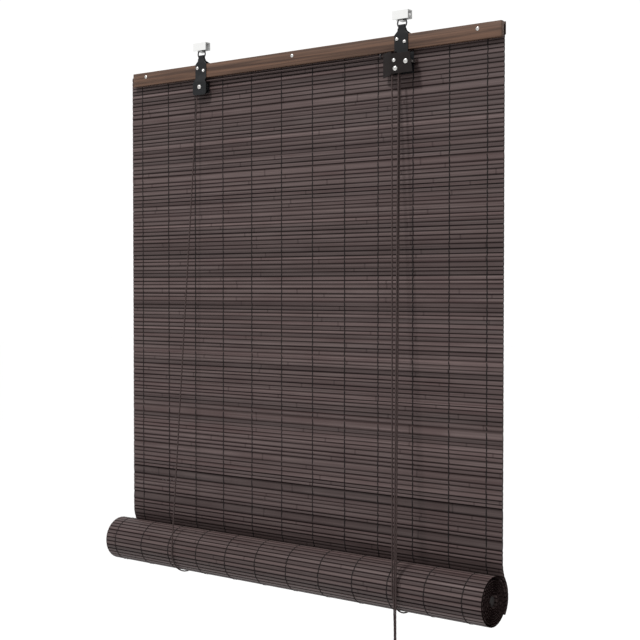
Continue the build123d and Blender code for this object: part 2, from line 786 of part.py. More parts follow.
def build_tie():
    """The band round the hank's waist."""
    x = hank_outer_r + cord_r + 0.2
    y = hank_depth / 2 + 0.2
    outer = Box(2 * (x + tie_thickness), 2 * (y + tie_thickness), tie_height)
    outer = fillet(outer.edges().filter_by(Axis.Z), tie_thickness)
    inner = Box(2 * x, 2 * y, tie_height + 2)
    return Pos(hank_x, hank_y, hank_mid_z) * (outer - inner)


def build_tassel():
    """The turned wooden pull under the hank, bored for the cords' ends."""
    top = hank_low - 0.2
    low = top - tassel_height
    edges = [
        Line((tassel_bore_r, 0, top), (4.0, 0, top)),
        ThreePointArc((4.0, 0, top), (5.0, 0, top - 8), (tassel_r, 0, low + 8)),
        ThreePointArc((tassel_r, 0, low + 8), (tassel_r - 0.8, 0, low + 3), (4.5, 0, low)),
        Line((4.5, 0, low), (0, 0, low)),
        Line((0, 0, low), (0, 0, top - 18)),
        Line((0, 0, top - 18), (tassel_bore_r, 0, top - 18)),
        Line((tassel_bore_r, 0, top - 18), (tassel_bore_r, 0, top)),
    ]
    return Pos(hank_x, hank_y, 0) * revolve(make_face(edges), Axis.Z, 360)


def build_tassel_ends():
    """The two cords' ends, down from the hank's last turns into the pull's bore."""
    ends = []
    for side in (-1, 1):
        x = hank_x + side * (cord_r + 0.08)
        ends.append(Pos(x, hank_y, hank_low - 8.2) * Cylinder(cord_r, 16))
    return ends


# ---------------------------------------------------------------- the whole blind
def keep(name, *solids):
    """Remember a node as one solid or a group of separate solids."""
    flat = []
    for solid in solids:
        flat += list(solid.solids())
    pieces[name] = flat[0] if len(flat) == 1 else Compound(children=flat)


narrow_slats, wide_slats, bend_slats = build_slats()
keep("batten", build_batten())
keep("rear_strip", build_rear_strip())
keep("batten_nails", *build_nails())
keep("narrow_slats", *narrow_slats)
keep("wide_slats", *wide_slats)
keep("bend_slats", *bend_slats)
keep("warp_threads", *[hanging_thread(x) for x in thread_columns()])
keep("bend_threads", *[bend_thread(x) for x in thread_columns()])
keep("mat_roll", build_roll())
keep("core_rod", build_core())

for label, side in (("left", -1), ("right", 1)):
    keep(label + "_ceiling_bracket", build_bracket(side))
    keep(label + "_hanger_ring", build_ring(side))
    keep(label + "_strap_rivets", *build_strap_rivets(side))
keep("left_strap", build_left_strap())
keep("right_strap", build_right_strap())

left_wheel, left_plate, left_axle = build_left_pulley()
keep("left_pulley_wheel", left_wheel)
keep("left_pulley_back_plate", left_plate)
keep("left_pulley_rivet", left_axle)

guide_rivet, anvil_rivet, cam_rivet = build_lock_rivets()
keep("lock_cover", build_lock_cover())
keep("lock_guide_pulley", grooved_wheel(
    guide_x, guide_z, front_groove_y - guide_flange, rear_groove_y + guide_flange,
    [front_groove_y, rear_groove_y], guide_pitch_r, guide_rim))
keep("lock_guide_rivet", guide_rivet)
keep("lock_anvil", build_anvil())
keep("lock_anvil_rivet", anvil_rivet)
keep("lock_cam", build_cam())
keep("lock_cam_rivet", cam_rivet)

rear_eye_y = strip_back + 1.2 + eye_r
keep("cord_entry_eye", eye_ring(entry_eye_x, entry_eye_y, entry_eye_z, face_z=batten_low))
keep("left_rear_eye", eye_ring(rear_eye_left_x, rear_eye_y, rear_eye_z, face_y=strip_front + 0.5))
keep("right_rear_eye", eye_ring(rear_eye_right_x, rear_eye_y, rear_eye_z, face_y=strip_front + 0.5))

left_top = (-hanger_x - pulley_pitch_r, pulley_y, pulley_z - joint_gap)
right_top = (guide_x - guide_pitch_r, front_groove_y, guide_z - joint_gap)
keep("left_lift_cord_front", lift_cord(left_top, lift_left_x))
keep("right_lift_cord_front", lift_cord(right_top, lift_right_x))
keep("left_lift_sling", lift_sling(lift_left_x))
keep("right_lift_sling", lift_sling(lift_right_x))
keep("left_lift_cord_back", back_cord(rear_eye_left_x, lift_left_x))
keep("right_lift_cord_back", back_cord(rear_eye_right_x, lift_right_x))
keep("left_cord_crossover", build_crossover())
keep("right_cord_in_lock", build_right_lock_cord())

keep("left_pull_cord", free_cord("left_pull_cord", pull_cord_left_route))
keep("right_pull_cord", free_cord("right_pull_cord", pull_cord_right_route))
keep("left_cord_hank", hank_turns_solid(hank_y - hank_depth / 2))
keep("right_cord_hank", hank_turns_solid(hank_y + 0.05))
keep("hank_tie", build_tie())
keep("pull_tassel", build_tassel())
keep("tassel_cord_ends", *build_tassel_ends())

if __name__ == "__main__":
    os.makedirs("parts", exist_ok=True)
    for name, piece in pieces.items():
        export_step(piece, "parts/" + name + ".step")
    print(len(pieces), "nodes; core radius %.2f" % core_radius(), "anvil radius %.2f" % anvil_r,
          "mat length %.1f" % mat_length(), "sling radius %.2f" % sling_r)
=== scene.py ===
"""Bamboo roll up blind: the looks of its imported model, in metres and in the same frame.

Laid out as an add-on and run as a script. +X is to the blind's right, the room is at -Y and +Z
is up. The origin is the middle of the two ceiling screws, on the ceiling's face.
"""
import contextlib
import math
import random

import bmesh
import bpy
import numpy as np
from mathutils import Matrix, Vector


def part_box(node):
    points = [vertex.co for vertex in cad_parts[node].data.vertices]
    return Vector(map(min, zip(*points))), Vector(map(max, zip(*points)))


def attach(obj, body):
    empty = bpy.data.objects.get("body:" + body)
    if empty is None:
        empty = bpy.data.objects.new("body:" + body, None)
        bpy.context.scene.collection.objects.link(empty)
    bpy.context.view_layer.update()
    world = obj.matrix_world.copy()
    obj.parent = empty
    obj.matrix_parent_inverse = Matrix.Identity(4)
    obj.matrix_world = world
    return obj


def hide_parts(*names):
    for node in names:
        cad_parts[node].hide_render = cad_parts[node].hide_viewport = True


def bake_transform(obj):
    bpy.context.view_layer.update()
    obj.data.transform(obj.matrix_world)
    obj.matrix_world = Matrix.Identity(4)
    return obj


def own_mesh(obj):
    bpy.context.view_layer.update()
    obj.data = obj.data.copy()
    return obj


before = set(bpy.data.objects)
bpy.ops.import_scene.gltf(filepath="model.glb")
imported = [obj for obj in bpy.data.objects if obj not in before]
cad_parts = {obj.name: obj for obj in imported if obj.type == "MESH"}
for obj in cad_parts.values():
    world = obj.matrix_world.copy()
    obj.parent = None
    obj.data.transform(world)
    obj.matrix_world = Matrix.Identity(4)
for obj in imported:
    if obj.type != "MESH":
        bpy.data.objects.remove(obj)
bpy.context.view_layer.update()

bl_info = {
    "name": "Bamboo Roll Up Blind",
    "version": (1, 0, 0),
    "blender": (4, 5, 0),
    "location": "View3D > Sidebar > Blind",
    "description": "Builds a bamboo roll up blind's finished pieces round its packed model",
    "category": "Object",
}

# ---------------------------------------------------------------- places in the frame, metres
SLATS_LOW, SLATS_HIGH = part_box("narrow_slats")
MAT_LEFT, MAT_RIGHT = SLATS_LOW.x, SLATS_HIGH.x
MAT_WIDTH = MAT_RIGHT - MAT_LEFT
MAT_MID = (MAT_LEFT + MAT_RIGHT) / 2
MAT_Y = (SLATS_LOW.y + SLATS_HIGH.y) / 2
MAT_TOP = SLATS_HIGH.z
BATTEN_LOW, BATTEN_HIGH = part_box("batten")
STRIP_LOW, STRIP_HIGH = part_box("rear_strip")
HANGER_X = 0.217
LIFT_SPAN = 0.70                # how far the roll rises

# The mat: its rows, and the columns of its threads.
WIDE_ROWS = (11, 27, 88, 98, 105, 112)
ROW_SHIFT, ROW_TILT = 0.0014, 0.12      # the most that a row's foot and lean differ from even
SLAT_OVERLAP = 1.06             # each slat's height over its row's
CLOSED_OVER = 0.0006            # the hanging slats' reach past the bend's first one, roll up
THREAD_COLUMNS = [MAT_LEFT + 0.027 + 0.0677 * i for i in range(12)]
THREAD_OUT = 0.0003             # a thread's middle from a slat's face, and from a crossing
THREAD_WANDER = 0.0006
THREAD_FLATNESS = 2.2           # how much wider than thick

# The roll: the mat leans back to it in a bend, and follows it down round its back.
ROLL_Y, ROLL_Z = -0.0154, -0.915
ROLL_RADIUS = 0.0386
TURN_PITCH = 0.0036
OUTER_TURN = ROLL_RADIUS - 0.0011       # the outer turn's middle line
OUTER_LENGTH = 2 * math.pi * OUTER_TURN
INNER_TURN = 0.0098             # the last turn's middle line, on the core rod
MAT_END_Y = 0.0252
BEND_TOP = ROLL_Z + 0.056
WRAPPED_ROWS = 4                # that follow the roll's back, past the bend
ROLLED_COLUMNS = [x - 0.0145 + 0.0007 * i for i, x in enumerate(THREAD_COLUMNS)]
ROLLED_LENGTH = MAT_WIDTH + 0.0105      # the rolled slats stand out a little at the left
ROLLED_SHIFT = -0.0068
ROLLED_ROW_SHIFT, ROLLED_ROW_TILT = 0.0008, 0.04
ROLLED_WIDE_FROM, ROLLED_WIDE_SHARE = 0.25, 0.05        # wide slats are all further in
ROLLED_THREAD_RADIUS, ROLLED_THREAD_FLATNESS = 0.00036, 2.6

# The wheels that the cords run over.
PULLEY_Y, PULLEY_Z, PULLEY_R = -0.00065, -0.079, 0.010
GUIDE_X, GUIDE_Z, GUIDE_R = 0.2102, -0.0793, 0.0062
REAR_GROOVE_Y, FRONT_GROOVE_Y = -0.0052, -0.0092
LOCK_EXIT_Z = -0.101

# The lift cords, and the twist of every cord.
CORD_R = 0.00125
ROPE_STEP, ROPE_SIDES, ROPE_TWIST = 0.001, 12, 0.0085
LIFT_LEFT_X, LIFT_RIGHT_X = -0.241, 0.238
LIFT_TOP_Z, GUIDE_DROP = -0.0793, 0.0003
REAR_EYE_X, REAR_EYE_Y, REAR_EYE_Z = 0.237, 0.0173, -0.0545
SLING_REACH = 0.04085           # from the roll's middle, at its front and foot
SLING_CLEAR = 0.0037            # further out behind, clear of the mat
EYE_KNOT = ((0, -0.0012, -0.004), (-0.001, -0.001, 0.002), (-0.0030, 0.0012, 0.0048),
            (0, 0.0034, 0.0062), (0.0030, 0.0012, 0.0048), (0.0012, -0.001, 0.001),
            (-0.0020, 0.0022, -0.0006), (0.0004, 0.0034, -0.0040))       # from the eye
CROSSING = [(0.10, 0.0005, -0.0688), (0.170, 0.0010, -0.0673), (0.182, 0.0007, -0.0682),
            (0.2023, REAR_GROOVE_Y, -0.0712)]

# The pull cords: their routes from the lock to the hank, and their turns in it.
PULL_X = GUIDE_X + GUIDE_R
LEFT_PULL = [(0.2164, -0.0052, -0.1013), (0.2460, -0.0575, -0.900), (0.2454, -0.0578, -0.941),
             (0.2462, -0.0585, -0.972), (0.2466, -0.0591, -1.000)]
RIGHT_PULL = [(0.2164, -0.0092, -0.1013), (0.2427, -0.0575, -0.900), (0.2422, -0.0578, -0.941),
              (0.2418, -0.0556, -0.972), (0.2408, -0.0539, -1.000)]
HANK_X, HANK_Y, HANK_TOP = 0.2437, -0.0565, -1.0
HANK_STRAIGHT = 0.038
HANK_OUTER, HANK_INNER = 0.0105, 0.0079
HANK_FIRST, HANK_LAYER = 0.0026, 0.00255        # from the hank's middle, and from turn to turn
HANK_BULGE = 1.08               # its rounded ends, over its straight sides' half width
HANK_TAIL = 0.00133             # each cord's way down from the hank, from its middle
BAND_R, BAND_FLAT, BAND_STEP = 0.00075, 1.25, 0.0019
BAND_CLEAR, BAND_HALF_Y, BAND_CORNER = 0.0008, 0.0099, 0.004

# The boards: the wave along them and their faces' unevenness.
BOARD_WAVE, BOARD_ROUGH = 0.00012, 0.00003

# The domed heads of nails and rivets: radius and height.
NAIL_HEAD, RIVET_HEAD = (0.0033, 0.0017), (0.0033, 0.0021)
BIG_HEAD, GUIDE_HEAD = (0.0042, 0.0024), (0.0034, 0.0021)

# The stage.
CAMERA_PLACE, CAMERA_DIP, CAMERA_TURN = (1.3341, -1.6624, -0.4401), 0.025885, 0.656905
FOCAL_LENGTH = 70.30125         # for a sensor 36 mm wide
FLOOR_Z, FLOOR_HALF = -2.62, 40.0


# ---------------------------------------------------------------- sizes and colours a user may set
def length_property(name, description, default, least):
    return bpy.props.FloatProperty(
        name=name, description=description, default=default, min=least, unit="LENGTH")


def colour_property(name, description, default):
    return bpy.props.FloatVectorProperty(
        name=name, description=description, subtype="COLOR", size=3, default=default, min=0, max=1)


class BlindSizes(bpy.types.PropertyGroup):
    """Sizes of the blind's woven and round pieces."""
    slat_pitch: length_property("Slat pitch", "From one narrow slat to the next", 0.007, 0.003)
    slat_thickness: length_property(
        "Slat thickness", "Through the mat, at a slat's crown", 0.0022, 0.001)
    thread_radius: length_property(
        "Thread radius", "Half the thickness of a warp thread", 0.00042, 0.0001)
    cord_diameter: length_property(
        "Cord diameter", "Thickness of the lift and pull cords", 2 * CORD_R, 0.001)
    seed: bpy.props.IntProperty(
        name="Seed", description="Fixes every random difference between slats", default=7)


class BlindColours(bpy.types.PropertyGroup):
    """Colours of the blind's stains and paints."""
    bamboo_light: colour_property(
        "Bamboo, light", "Stained bamboo where the fibres are palest", (0.0705, 0.0515, 0.0495))
    bamboo_dark: colour_property(
        "Bamboo, dark", "Stained bamboo in its darkest streaks", (0.026, 0.0152, 0.0146))
    batten_light: colour_property("Batten, light", "The batten's pale grain", (0.066, 0.035, 0.022))
    batten_dark: colour_property("Batten, dark", "The batten's dark grain", (0.020, 0.009, 0.006))
    cord: colour_property("Cord", "The lift and pull cords", (0.024, 0.015, 0.014))


# ---------------------------------------------------------------- node helpers
class Value:
    """What one socket of a node gives. Arithmetic on it adds Math nodes to its tree."""

    def __init__(self, tree, socket):
        self.tree, self.socket = tree, socket

    def calc(self, operation, other=0.0):
        return put(self.tree, "ShaderNodeMath", {0: self, 1: other}, operation=operation)[0]

    def __add__(self, other):
        return self.calc("ADD", other)

    def __sub__(self, other):
        return self.calc("SUBTRACT", other)

    def __rsub__(self, other):
        return put(self.tree, "ShaderNodeMath", {0: other, 1: self}, operation="SUBTRACT")[0]

    def __mul__(self, other):
        return self.calc("MULTIPLY", other)

    def clamped(self):
        """The same, kept from 0 to 1."""
        self.socket.node.use_clamp = True
        return self


class Outputs:
    """A node's outputs, by name or number."""

    def __init__(self, tree, node):
        self.tree, self.node = tree, node

    def __getitem__(self, key):
        return Value(self.tree, self.node.outputs[key])


def feed(tree, node, inputs):
    """Links or sets a node's inputs."""
    for key, value in inputs.items():
        if isinstance(value, Value):
            tree.links.new(value.socket, node.inputs[key])
        else:
            node.inputs[key].default_value = value


def put(tree, kind, inputs=None, **props):
    """Adds a node, sets its properties, feeds its inputs, and gives its outputs."""
    node = tree.nodes.new(kind)
    for key, value in props.items():
        setattr(node, key, value)
    feed(tree, node, inputs or {})
    return Outputs(tree, node)


def combine(tree, x=0.0, y=0.0, z=0.0):
    return put(tree, "ShaderNodeCombineXYZ", {0: x, 1: y, 2: z})[0]


def split(tree, vector):
    """A vector's X, Y and Z."""
    parts = put(tree, "ShaderNodeSeparateXYZ", {0: vector})
    return parts[0], parts[1], parts[2]


def noise(tree, vector, scale, detail, roughness=0.5, distortion=0.0):
    return put(tree, "ShaderNodeTexNoise", {
        "Vector": vector, "Scale": scale, "Detail": detail, "Roughness": roughness,
        "Distortion": distortion})[0]


def new_tree(name, kind, ins, outs):
    """A node group with its sockets, each a label and a kind, and what its inputs give."""
    tree = bpy.data.node_groups.new(name, kind)
    for way, sockets in (("INPUT", ins), ("OUTPUT", outs)):
        for label, what in sockets:
            tree.interface.new_socket(label, in_out=way, socket_type="NodeSocket" + what)
    return tree, put(tree, "NodeGroupInput")


def geometry_tree(name, *sockets):
    shape = ("Geometry", "Geometry")
    return new_tree(name, "GeometryNodeTree", [shape, *sockets, ("Material", "Material")], [shape])


def named(tree, name, data_type="FLOAT"):
    return put(tree, "GeometryNodeInputNamedAttribute", {"Name": name}, data_type=data_type)[0]


def store(tree, geometry, name, value, data_type="FLOAT", domain="POINT"):
    return put(tree, "GeometryNodeStoreNamedAttribute",
               {"Geometry": geometry, "Name": name, "Value": value},
               data_type=data_type, domain=domain)[0]


def place_points(tree, geometry, position):
    return put(tree, "GeometryNodeSetPosition", {"Geometry": geometry, "Position": position})[0]


def smooth_but_edges(tree, geometry, angle):
    """Smooth shading, with every edge sharper than the angle kept sharp."""
    turn = put(tree, "GeometryNodeInputMeshEdgeAngle")[0]
    sharp = put(tree, "FunctionNodeCompare", {0: turn, 1: angle}, operation="GREATER_THAN",
                data_type="FLOAT")[0]
    marked = store(tree, geometry, "sharp_edge", sharp, "BOOLEAN", "EDGE")
    return put(tree, "GeometryNodeSetShadeSmooth", {"Geometry": marked, "Shade Smooth": True})[0]


def close_tree(tree, geometry, material):
    """The tree's end: real geometry with its material."""
    real = put(tree, "GeometryNodeRealizeInstances", {"Geometry": geometry})[0]
    done = put(tree, "GeometryNodeSetMaterial", {"Geometry": real, "Material": material})[0]
    put(tree, "NodeGroupOutput", {"Geometry": done})


def built(name, seed_mesh, tree, material, values):
    """The plain mesh that a geometry node tree makes of a seed mesh, as a new object."""
    source = shown(name + "_seed", seed_mesh)
    modifier = source.modifiers.new("Build", "NODES")
    modifier.node_group = tree
    values = {**values, "Material": materials()[material]}
    for item in tree.interface.items_tree:
        if item.item_type == "SOCKET" and item.in_out == "INPUT" and item.name in values:
            modifier[item.identifier] = values[item.name]
    graph = bpy.context.evaluated_depsgraph_get()
    mesh = bpy.data.meshes.new_from_object(
        source.evaluated_get(graph), preserve_all_data_layers=True, depsgraph=graph)
    source.modifiers.remove(modifier)
    bpy.data.objects.remove(source)
    if not mesh.polygons:
        raise RuntimeError(name + " came out empty")
    mesh.name = name
    return shown(name, mesh)


def shown(name, data):
    obj = bpy.data.objects.new(name, data)
    bpy.context.scene.collection.objects.link(obj)
    return obj


def mesh_piece(name, verts, faces, material, smooth=True):
    mesh = bpy.data.meshes.new(name)
    mesh.from_pydata([tuple(v) for v in verts], [], faces)
    mesh.polygons.foreach_set("use_smooth", [smooth] * len(mesh.polygons))
    mesh.materials.append(materials()[material])
    mesh.update()
    return shown(name, mesh)


def point_mesh(name, points, edges=(), **attributes):
    """Loose points, or points joined by edges, that carry numbers for a geometry node tree."""
    mesh = bpy.data.meshes.new(name)
    mesh.from_pydata(points, edges, [])
    for key, values in attributes.items():
        mesh.attributes.new(key, "FLOAT", "POINT").data.foreach_set("value", values)
    return mesh


@contextlib.contextmanager
def editing(mesh):
    """A mesh to work on, written back afterwards."""
    work = bmesh.new()
    work.from_mesh(mesh)
    yield work
    work.to_mesh(mesh)
    work.free()


def sharpen(obj, angle):
    """Marks the edges sharper than an angle, in degrees, on a smooth mesh."""
    with editing(obj.data) as work:
        for edge in work.edges:
            edge.smooth = not (len(edge.link_faces) == 2
                               and edge.calc_face_angle(0) > math.radians(angle))


def face_out(obj):
    """Turns every face of a closed mesh outwards."""
    with editing(obj.data) as work:
        bmesh.ops.recalc_face_normals(work, faces=work.faces)


def skin(rings, sides, loop=False):
    """The faces of a tube that joins rings of points, with closed ends unless it is a loop."""
    faces = []
    for i in range(rings if loop else rings - 1):
        a, b = i * sides, (i + 1) % rings * sides
        faces += [(a + k, a + (k + 1) % sides, b + (k + 1) % sides, b + k) for k in range(sides)]
    if not loop:
        faces += [tuple(range(sides))[::-1], tuple(range((rings - 1) * sides, rings * sides))]
    return faces


def finish_piece(obj, body, slot, *nodes):
    """Rides a piece on its body and hides the CAD nodes it stands for. Its slot is not used."""
    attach(obj, body)
    if nodes:
        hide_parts(*nodes)
    return obj


def rising(obj, slot, fixed_z, low_z, *nodes):
    """A piece on the headrail that the roll would gather up as it rises, its fixed end staying
    where it is. Here it only gets its own mesh; the share of it that the rise leaves is worked out
    but not kept.
    """
    finish_piece(obj, "headrail", slot, *nodes)
    1 - LIFT_SPAN / (fixed_z - low_z)
    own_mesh(obj)
    return obj


# ---------------------------------------------------------------- shared shader groups
def fibre_group():
    """Long fibres: broad streaks and fine lines along X, from a vector in metres and a seed."""
    tree, given = new_tree(
        "Fibres", "ShaderNodeTree",
        [("Vector", "Vector"), ("Along", "Float"), ("Across", "Float"), ("Seed", "Float")],
        [("Streak", "Float"), ("Fine", "Float"), ("Cloud", "Float")])
    x, y, z = split(tree, given["Vector"])
    seed, across = given["Seed"] * 61.7, given["Across"]
    vector = combine(tree, x * given["Along"], y * across + seed, z * across + seed)
    broad = combine(tree, x, seed * 0.37, z)
    put(tree, "NodeGroupOutput", {
        "Streak": noise(tree, vector, 0.55, 3.0, 0.6, 0.25),
        "Fine": noise(tree, vector, 3.1, 4.0, 0.7), "Cloud": noise(tree, broad, 9.0, 2.0)})


def wear_group():
    """Handling marks and dust: a patchy mask, more of it where a face looks up."""
    tree, given = new_tree(
        "Wear and dust", "ShaderNodeTree",
        [("Scale", "Float"), ("Marks", "Float"), ("Dust", "Float")],
        [("Mask", "Float"), ("Dust", "Float"), ("Grain", "Float")])
    place = put(tree, "ShaderNodeTexCoord")["Object"]
    patch = noise(tree, place, given["Scale"], 5.0, 0.65)
    mask = ((patch - 0.5) * 4.0).clamped()
    up = split(tree, put(tree, "ShaderNodeNewGeometry")["Normal"])[2]
    put(tree, "NodeGroupOutput", {
        "Mask": mask * given["Marks"],
        "Dust": (up.calc("MAXIMUM", 0.0) * patch * given["Dust"]).clamped(),
        "Grain": noise(tree, place, given["Scale"] * 14.0, 2.0)})


def use_group(tree, name, **inputs):
    """A shared shader group's outputs, with the group made once."""
    if name not in bpy.data.node_groups:
        {"Fibres": fibre_group, "Wear and dust": wear_group}[name]()
    return put(tree, "ShaderNodeGroup", inputs, node_tree=bpy.data.node_groups[name])


# ---------------------------------------------------------------- materials
def ramp(tree, fac, *stops):
    colours = put(tree, "ShaderNodeValToRGB", {"Fac": fac})
    elements = colours.node.color_ramp.elements
    while len(elements) < len(stops):
        elements.new(0.5)
    for element, (position, colour) in zip(elements, stops):
        element.position = position
        element.color = (*colour, 1)
    return colours[0]


def mix(tree, fac, a, b, blend="MIX"):
    a, b = (c if isinstance(c, Value) else (*c, 1) for c in (a, b))
    return put(tree, "ShaderNodeMix", {0: fac, 6: a, 7: b}, data_type="RGBA", blend_type=blend)[2]


def tint(colour, by):
    """A colour made lighter or darker."""
    return tuple(min(1.0, c * by) for c in colour)


def new_material(name):
    material = bpy.data.materials.new(name)
    material.use_nodes = True
    return material.node_tree


def finish(tree, colour, rough, normal, shine, metal=0.0):
    """Feeds a new material's shader."""
    feed(tree, tree.nodes["Principled BSDF"], {
        "Base Color": colour, "Roughness": rough, "Normal": normal,
        "Specular IOR Level": shine, "Metallic": metal})


def bump(tree, height, strength, distance):
    return put(tree, "ShaderNodeBump", {
        "Height": height, "Strength": strength, "Distance": distance})[0]


def attribute(tree, name, output):
    return put(tree, "ShaderNodeAttribute", attribute_name=name)[output]


def bamboo(name, light, dark):
    """Stained split bamboo: fibres, painted shade along each slat's long edges for the grooves
    between slats, dark cut ends, and a ring at each cane joint.
    """
    tree = new_material(name)
    grain, tone = attribute(tree, "grain", "Vector"), attribute(tree, "tone", "Fac")
    cane = use_group(tree, "Fibres", Vector=grain, Along=3.0, Across=520.0, Seed=tone)
    x, y, _ = split(tree, grain)
    off = ((x * 3.1 + tone * 23.0).calc("FRACT") - 0.5).calc("ABSOLUTE")
    ring = (1.0 - off * 150.0).clamped()
    colour = ramp(tree, cane["Streak"] * 0.75 + cane["Fine"] * 0.35,
                  (0.36, dark), (0.56, tint(light, 0.72)), (0.74, tint(light, 1.18)))
    red = (light[0] * 0.86, light[1] * 0.66, light[2] * 0.66)
    colour = mix(tree, (tone * 7.31).calc("FRACT") * 0.12, colour, red)
    colour = mix(tree, ((cane["Cloud"] - 0.42) * 1.6).clamped(), colour, tint(dark, 1.25))
    colour = mix(tree, ring * 0.7, colour, tint(dark, 0.6))
    level = (tone * 13.7).calc("FRACT") * 0.6 + 0.75
    # Painted shade: each slat darkens towards its long edges, standing in for the shade in the
    # grooves between slats, and its sheen is dimmed there too.
    painted_edge_shade = ((y.calc("ABSOLUTE") - 0.0023) * 900.0).clamped()
    edge_shade_depth = (tone * 5.3).calc("FRACT") * 0.42 + 0.54
    level = level * (1.0 - painted_edge_shade * edge_shade_depth)
    colour = mix(tree, 1.0, colour, combine(tree, level, level, level), "MULTIPLY")
    facing = split(tree, put(tree, "ShaderNodeTexCoord")["Normal"])[0]
    cut = facing.calc("ABSOLUTE").calc("GREATER_THAN", 0.7)
    colour = mix(tree, cut, colour, tint(dark, 0.18))
    finish(tree, colour, cane["Fine"] * 0.25 + 0.42,
           bump(tree, cane["Fine"] + ring * 1.2, 0.35, 0.0003), (1.0 - painted_edge_shade) * (1.0 - cut) * 0.16)


def board_wood(name, light, dark, along, across, rough):
    """Stained board: wavy grain along X, dark pores, and light wear."""
    tree = new_material(name)
    place = put(tree, "ShaderNodeTexCoord")["Object"]
    grain = use_group(tree, "Fibres", Vector=place, Along=along, Across=across, Seed=0.31)
    marks = use_group(tree, "Wear and dust", Scale=45.0, Marks=0.4, Dust=0.35)
    colour = ramp(tree, grain["Streak"] * 0.8 + grain["Fine"] * 0.3, (0.36, dark),
                  (0.5, tint(light, 0.62)), (0.6, light), (0.74, tint(light, 1.2)))
    pores = grain["Fine"].calc("GREATER_THAN", 0.64)
    colour = mix(tree, pores * 0.45, colour, tint(dark, 0.7))
    colour = mix(tree, ((grain["Cloud"] - 0.5) * 1.6).clamped(), colour, tint(dark, 1.4))
    colour = mix(tree, marks["Dust"], colour, (0.32, 0.29, 0.26))
    finish(tree, colour, grain["Fine"] * 0.25 + rough,
           bump(tree, grain["Fine"], 0.3, 0.0004), 0.2)


def painted(name, colour, rough, metal=0.0, shine=0.3, worn=None, marks=0.3, grain=0.15,
            dust=0.12, scale=70.0):
    """Paint, plating, plastic or rubber with marks, fine grain and a little dust."""
    tree = new_material(name)
    used = use_group(tree, "Wear and dust", Scale=scale, Marks=marks, Dust=dust)
    shade = mix(tree, used["Mask"], colour, worn or tint(colour, 1.5))
    shade = mix(tree, used["Dust"], shade, (0.30, 0.28, 0.26))
    varied = used["Grain"] * 0.16 + (used["Mask"] * 0.25 + (rough - 0.08))
    finish(tree, shade, varied, bump(tree, used["Grain"], grain, 0.0002), shine, metal)


def twisted_fibre(name, colour):
    """Twisted cord: fibres that follow each strand, with painted highlights where the strands stand
    out and painted shade between them.
    """
    tree = new_material(name)
    x, y, crest = split(tree, attribute(tree, "lay", "Vector"))
    fibre = noise(tree, combine(tree, x * 5.0, y * 260.0), 1.0, 4.0, 0.7)
    # Painted light: the colour runs from dark in the valleys between strands to pale on their
    # crests, standing in for their shade and highlights.
    shade = ramp(tree, crest * 0.62 + fibre * 0.5, (0.12, tint(colour, 0.35)), (0.5, colour),
                 (0.95, tint(colour, 1.7)))
    finish(tree, shade, fibre * 0.2 + 0.6, bump(tree, fibre, 0.5, 0.0002), 0.2)


def materials():
    """Every finish of the blind, by its name, made once."""
    colours = bpy.context.scene.blind_colours
    made = bpy.data.materials
    if "stained_bamboo" in made:
        return made
    bamboo("stained_bamboo", tuple(colours.bamboo_light), tuple(colours.bamboo_dark))
    board_wood("walnut_batten", tuple(colours.batten_light), tuple(colours.batten_dark),
               6.0, 420.0, 0.38)
    board_wood("dark_strip", (0.045, 0.028, 0.020), (0.018, 0.010, 0.008), 6.0, 420.0, 0.45)
    board_wood("dark_rod", (0.008, 0.0055, 0.005), (0.0035, 0.0022, 0.002), 8.0, 500.0, 0.6)
    board_wood("tassel_wood", (0.040, 0.023, 0.018), (0.016, 0.009, 0.007), 90.0, 160.0, 0.32)
    twisted_fibre("brown_cord", tuple(colours.cord))
    painted("warp_thread", (0.006, 0.005, 0.005), 0.9, shine=0.1, grain=0.5, scale=400.0, dust=0.03)
    painted("white_bracket", (0.42, 0.42, 0.415), 0.45, worn=(0.36, 0.355, 0.34), marks=0.25)
    painted("black_strap", (0.0050, 0.0052, 0.0058), 0.36, shine=0.16, worn=(0.014, 0.015, 0.017))
    painted("black_ring", (0.010, 0.010, 0.012), 0.28, shine=0.4, worn=(0.05, 0.05, 0.05))
    painted("bright_nickel", (0.50, 0.49, 0.475), 0.2, metal=1.0, worn=(0.36, 0.35, 0.33),
            marks=0.2, dust=0.03, grain=0.05)
    painted("brown_cover", (0.0060, 0.0042, 0.0040), 0.42, shine=0.10, worn=(0.018, 0.013, 0.012))
    painted("black_nylon", (0.014, 0.014, 0.015), 0.45, worn=(0.03, 0.03, 0.03))
    painted("plain_steel", (0.20, 0.19, 0.18), 0.36, metal=1.0, worn=(0.10, 0.09, 0.08), marks=0.6)
    painted("black_band", (0.010, 0.010, 0.011), 0.7, shine=0.2, grain=0.4)
    return made


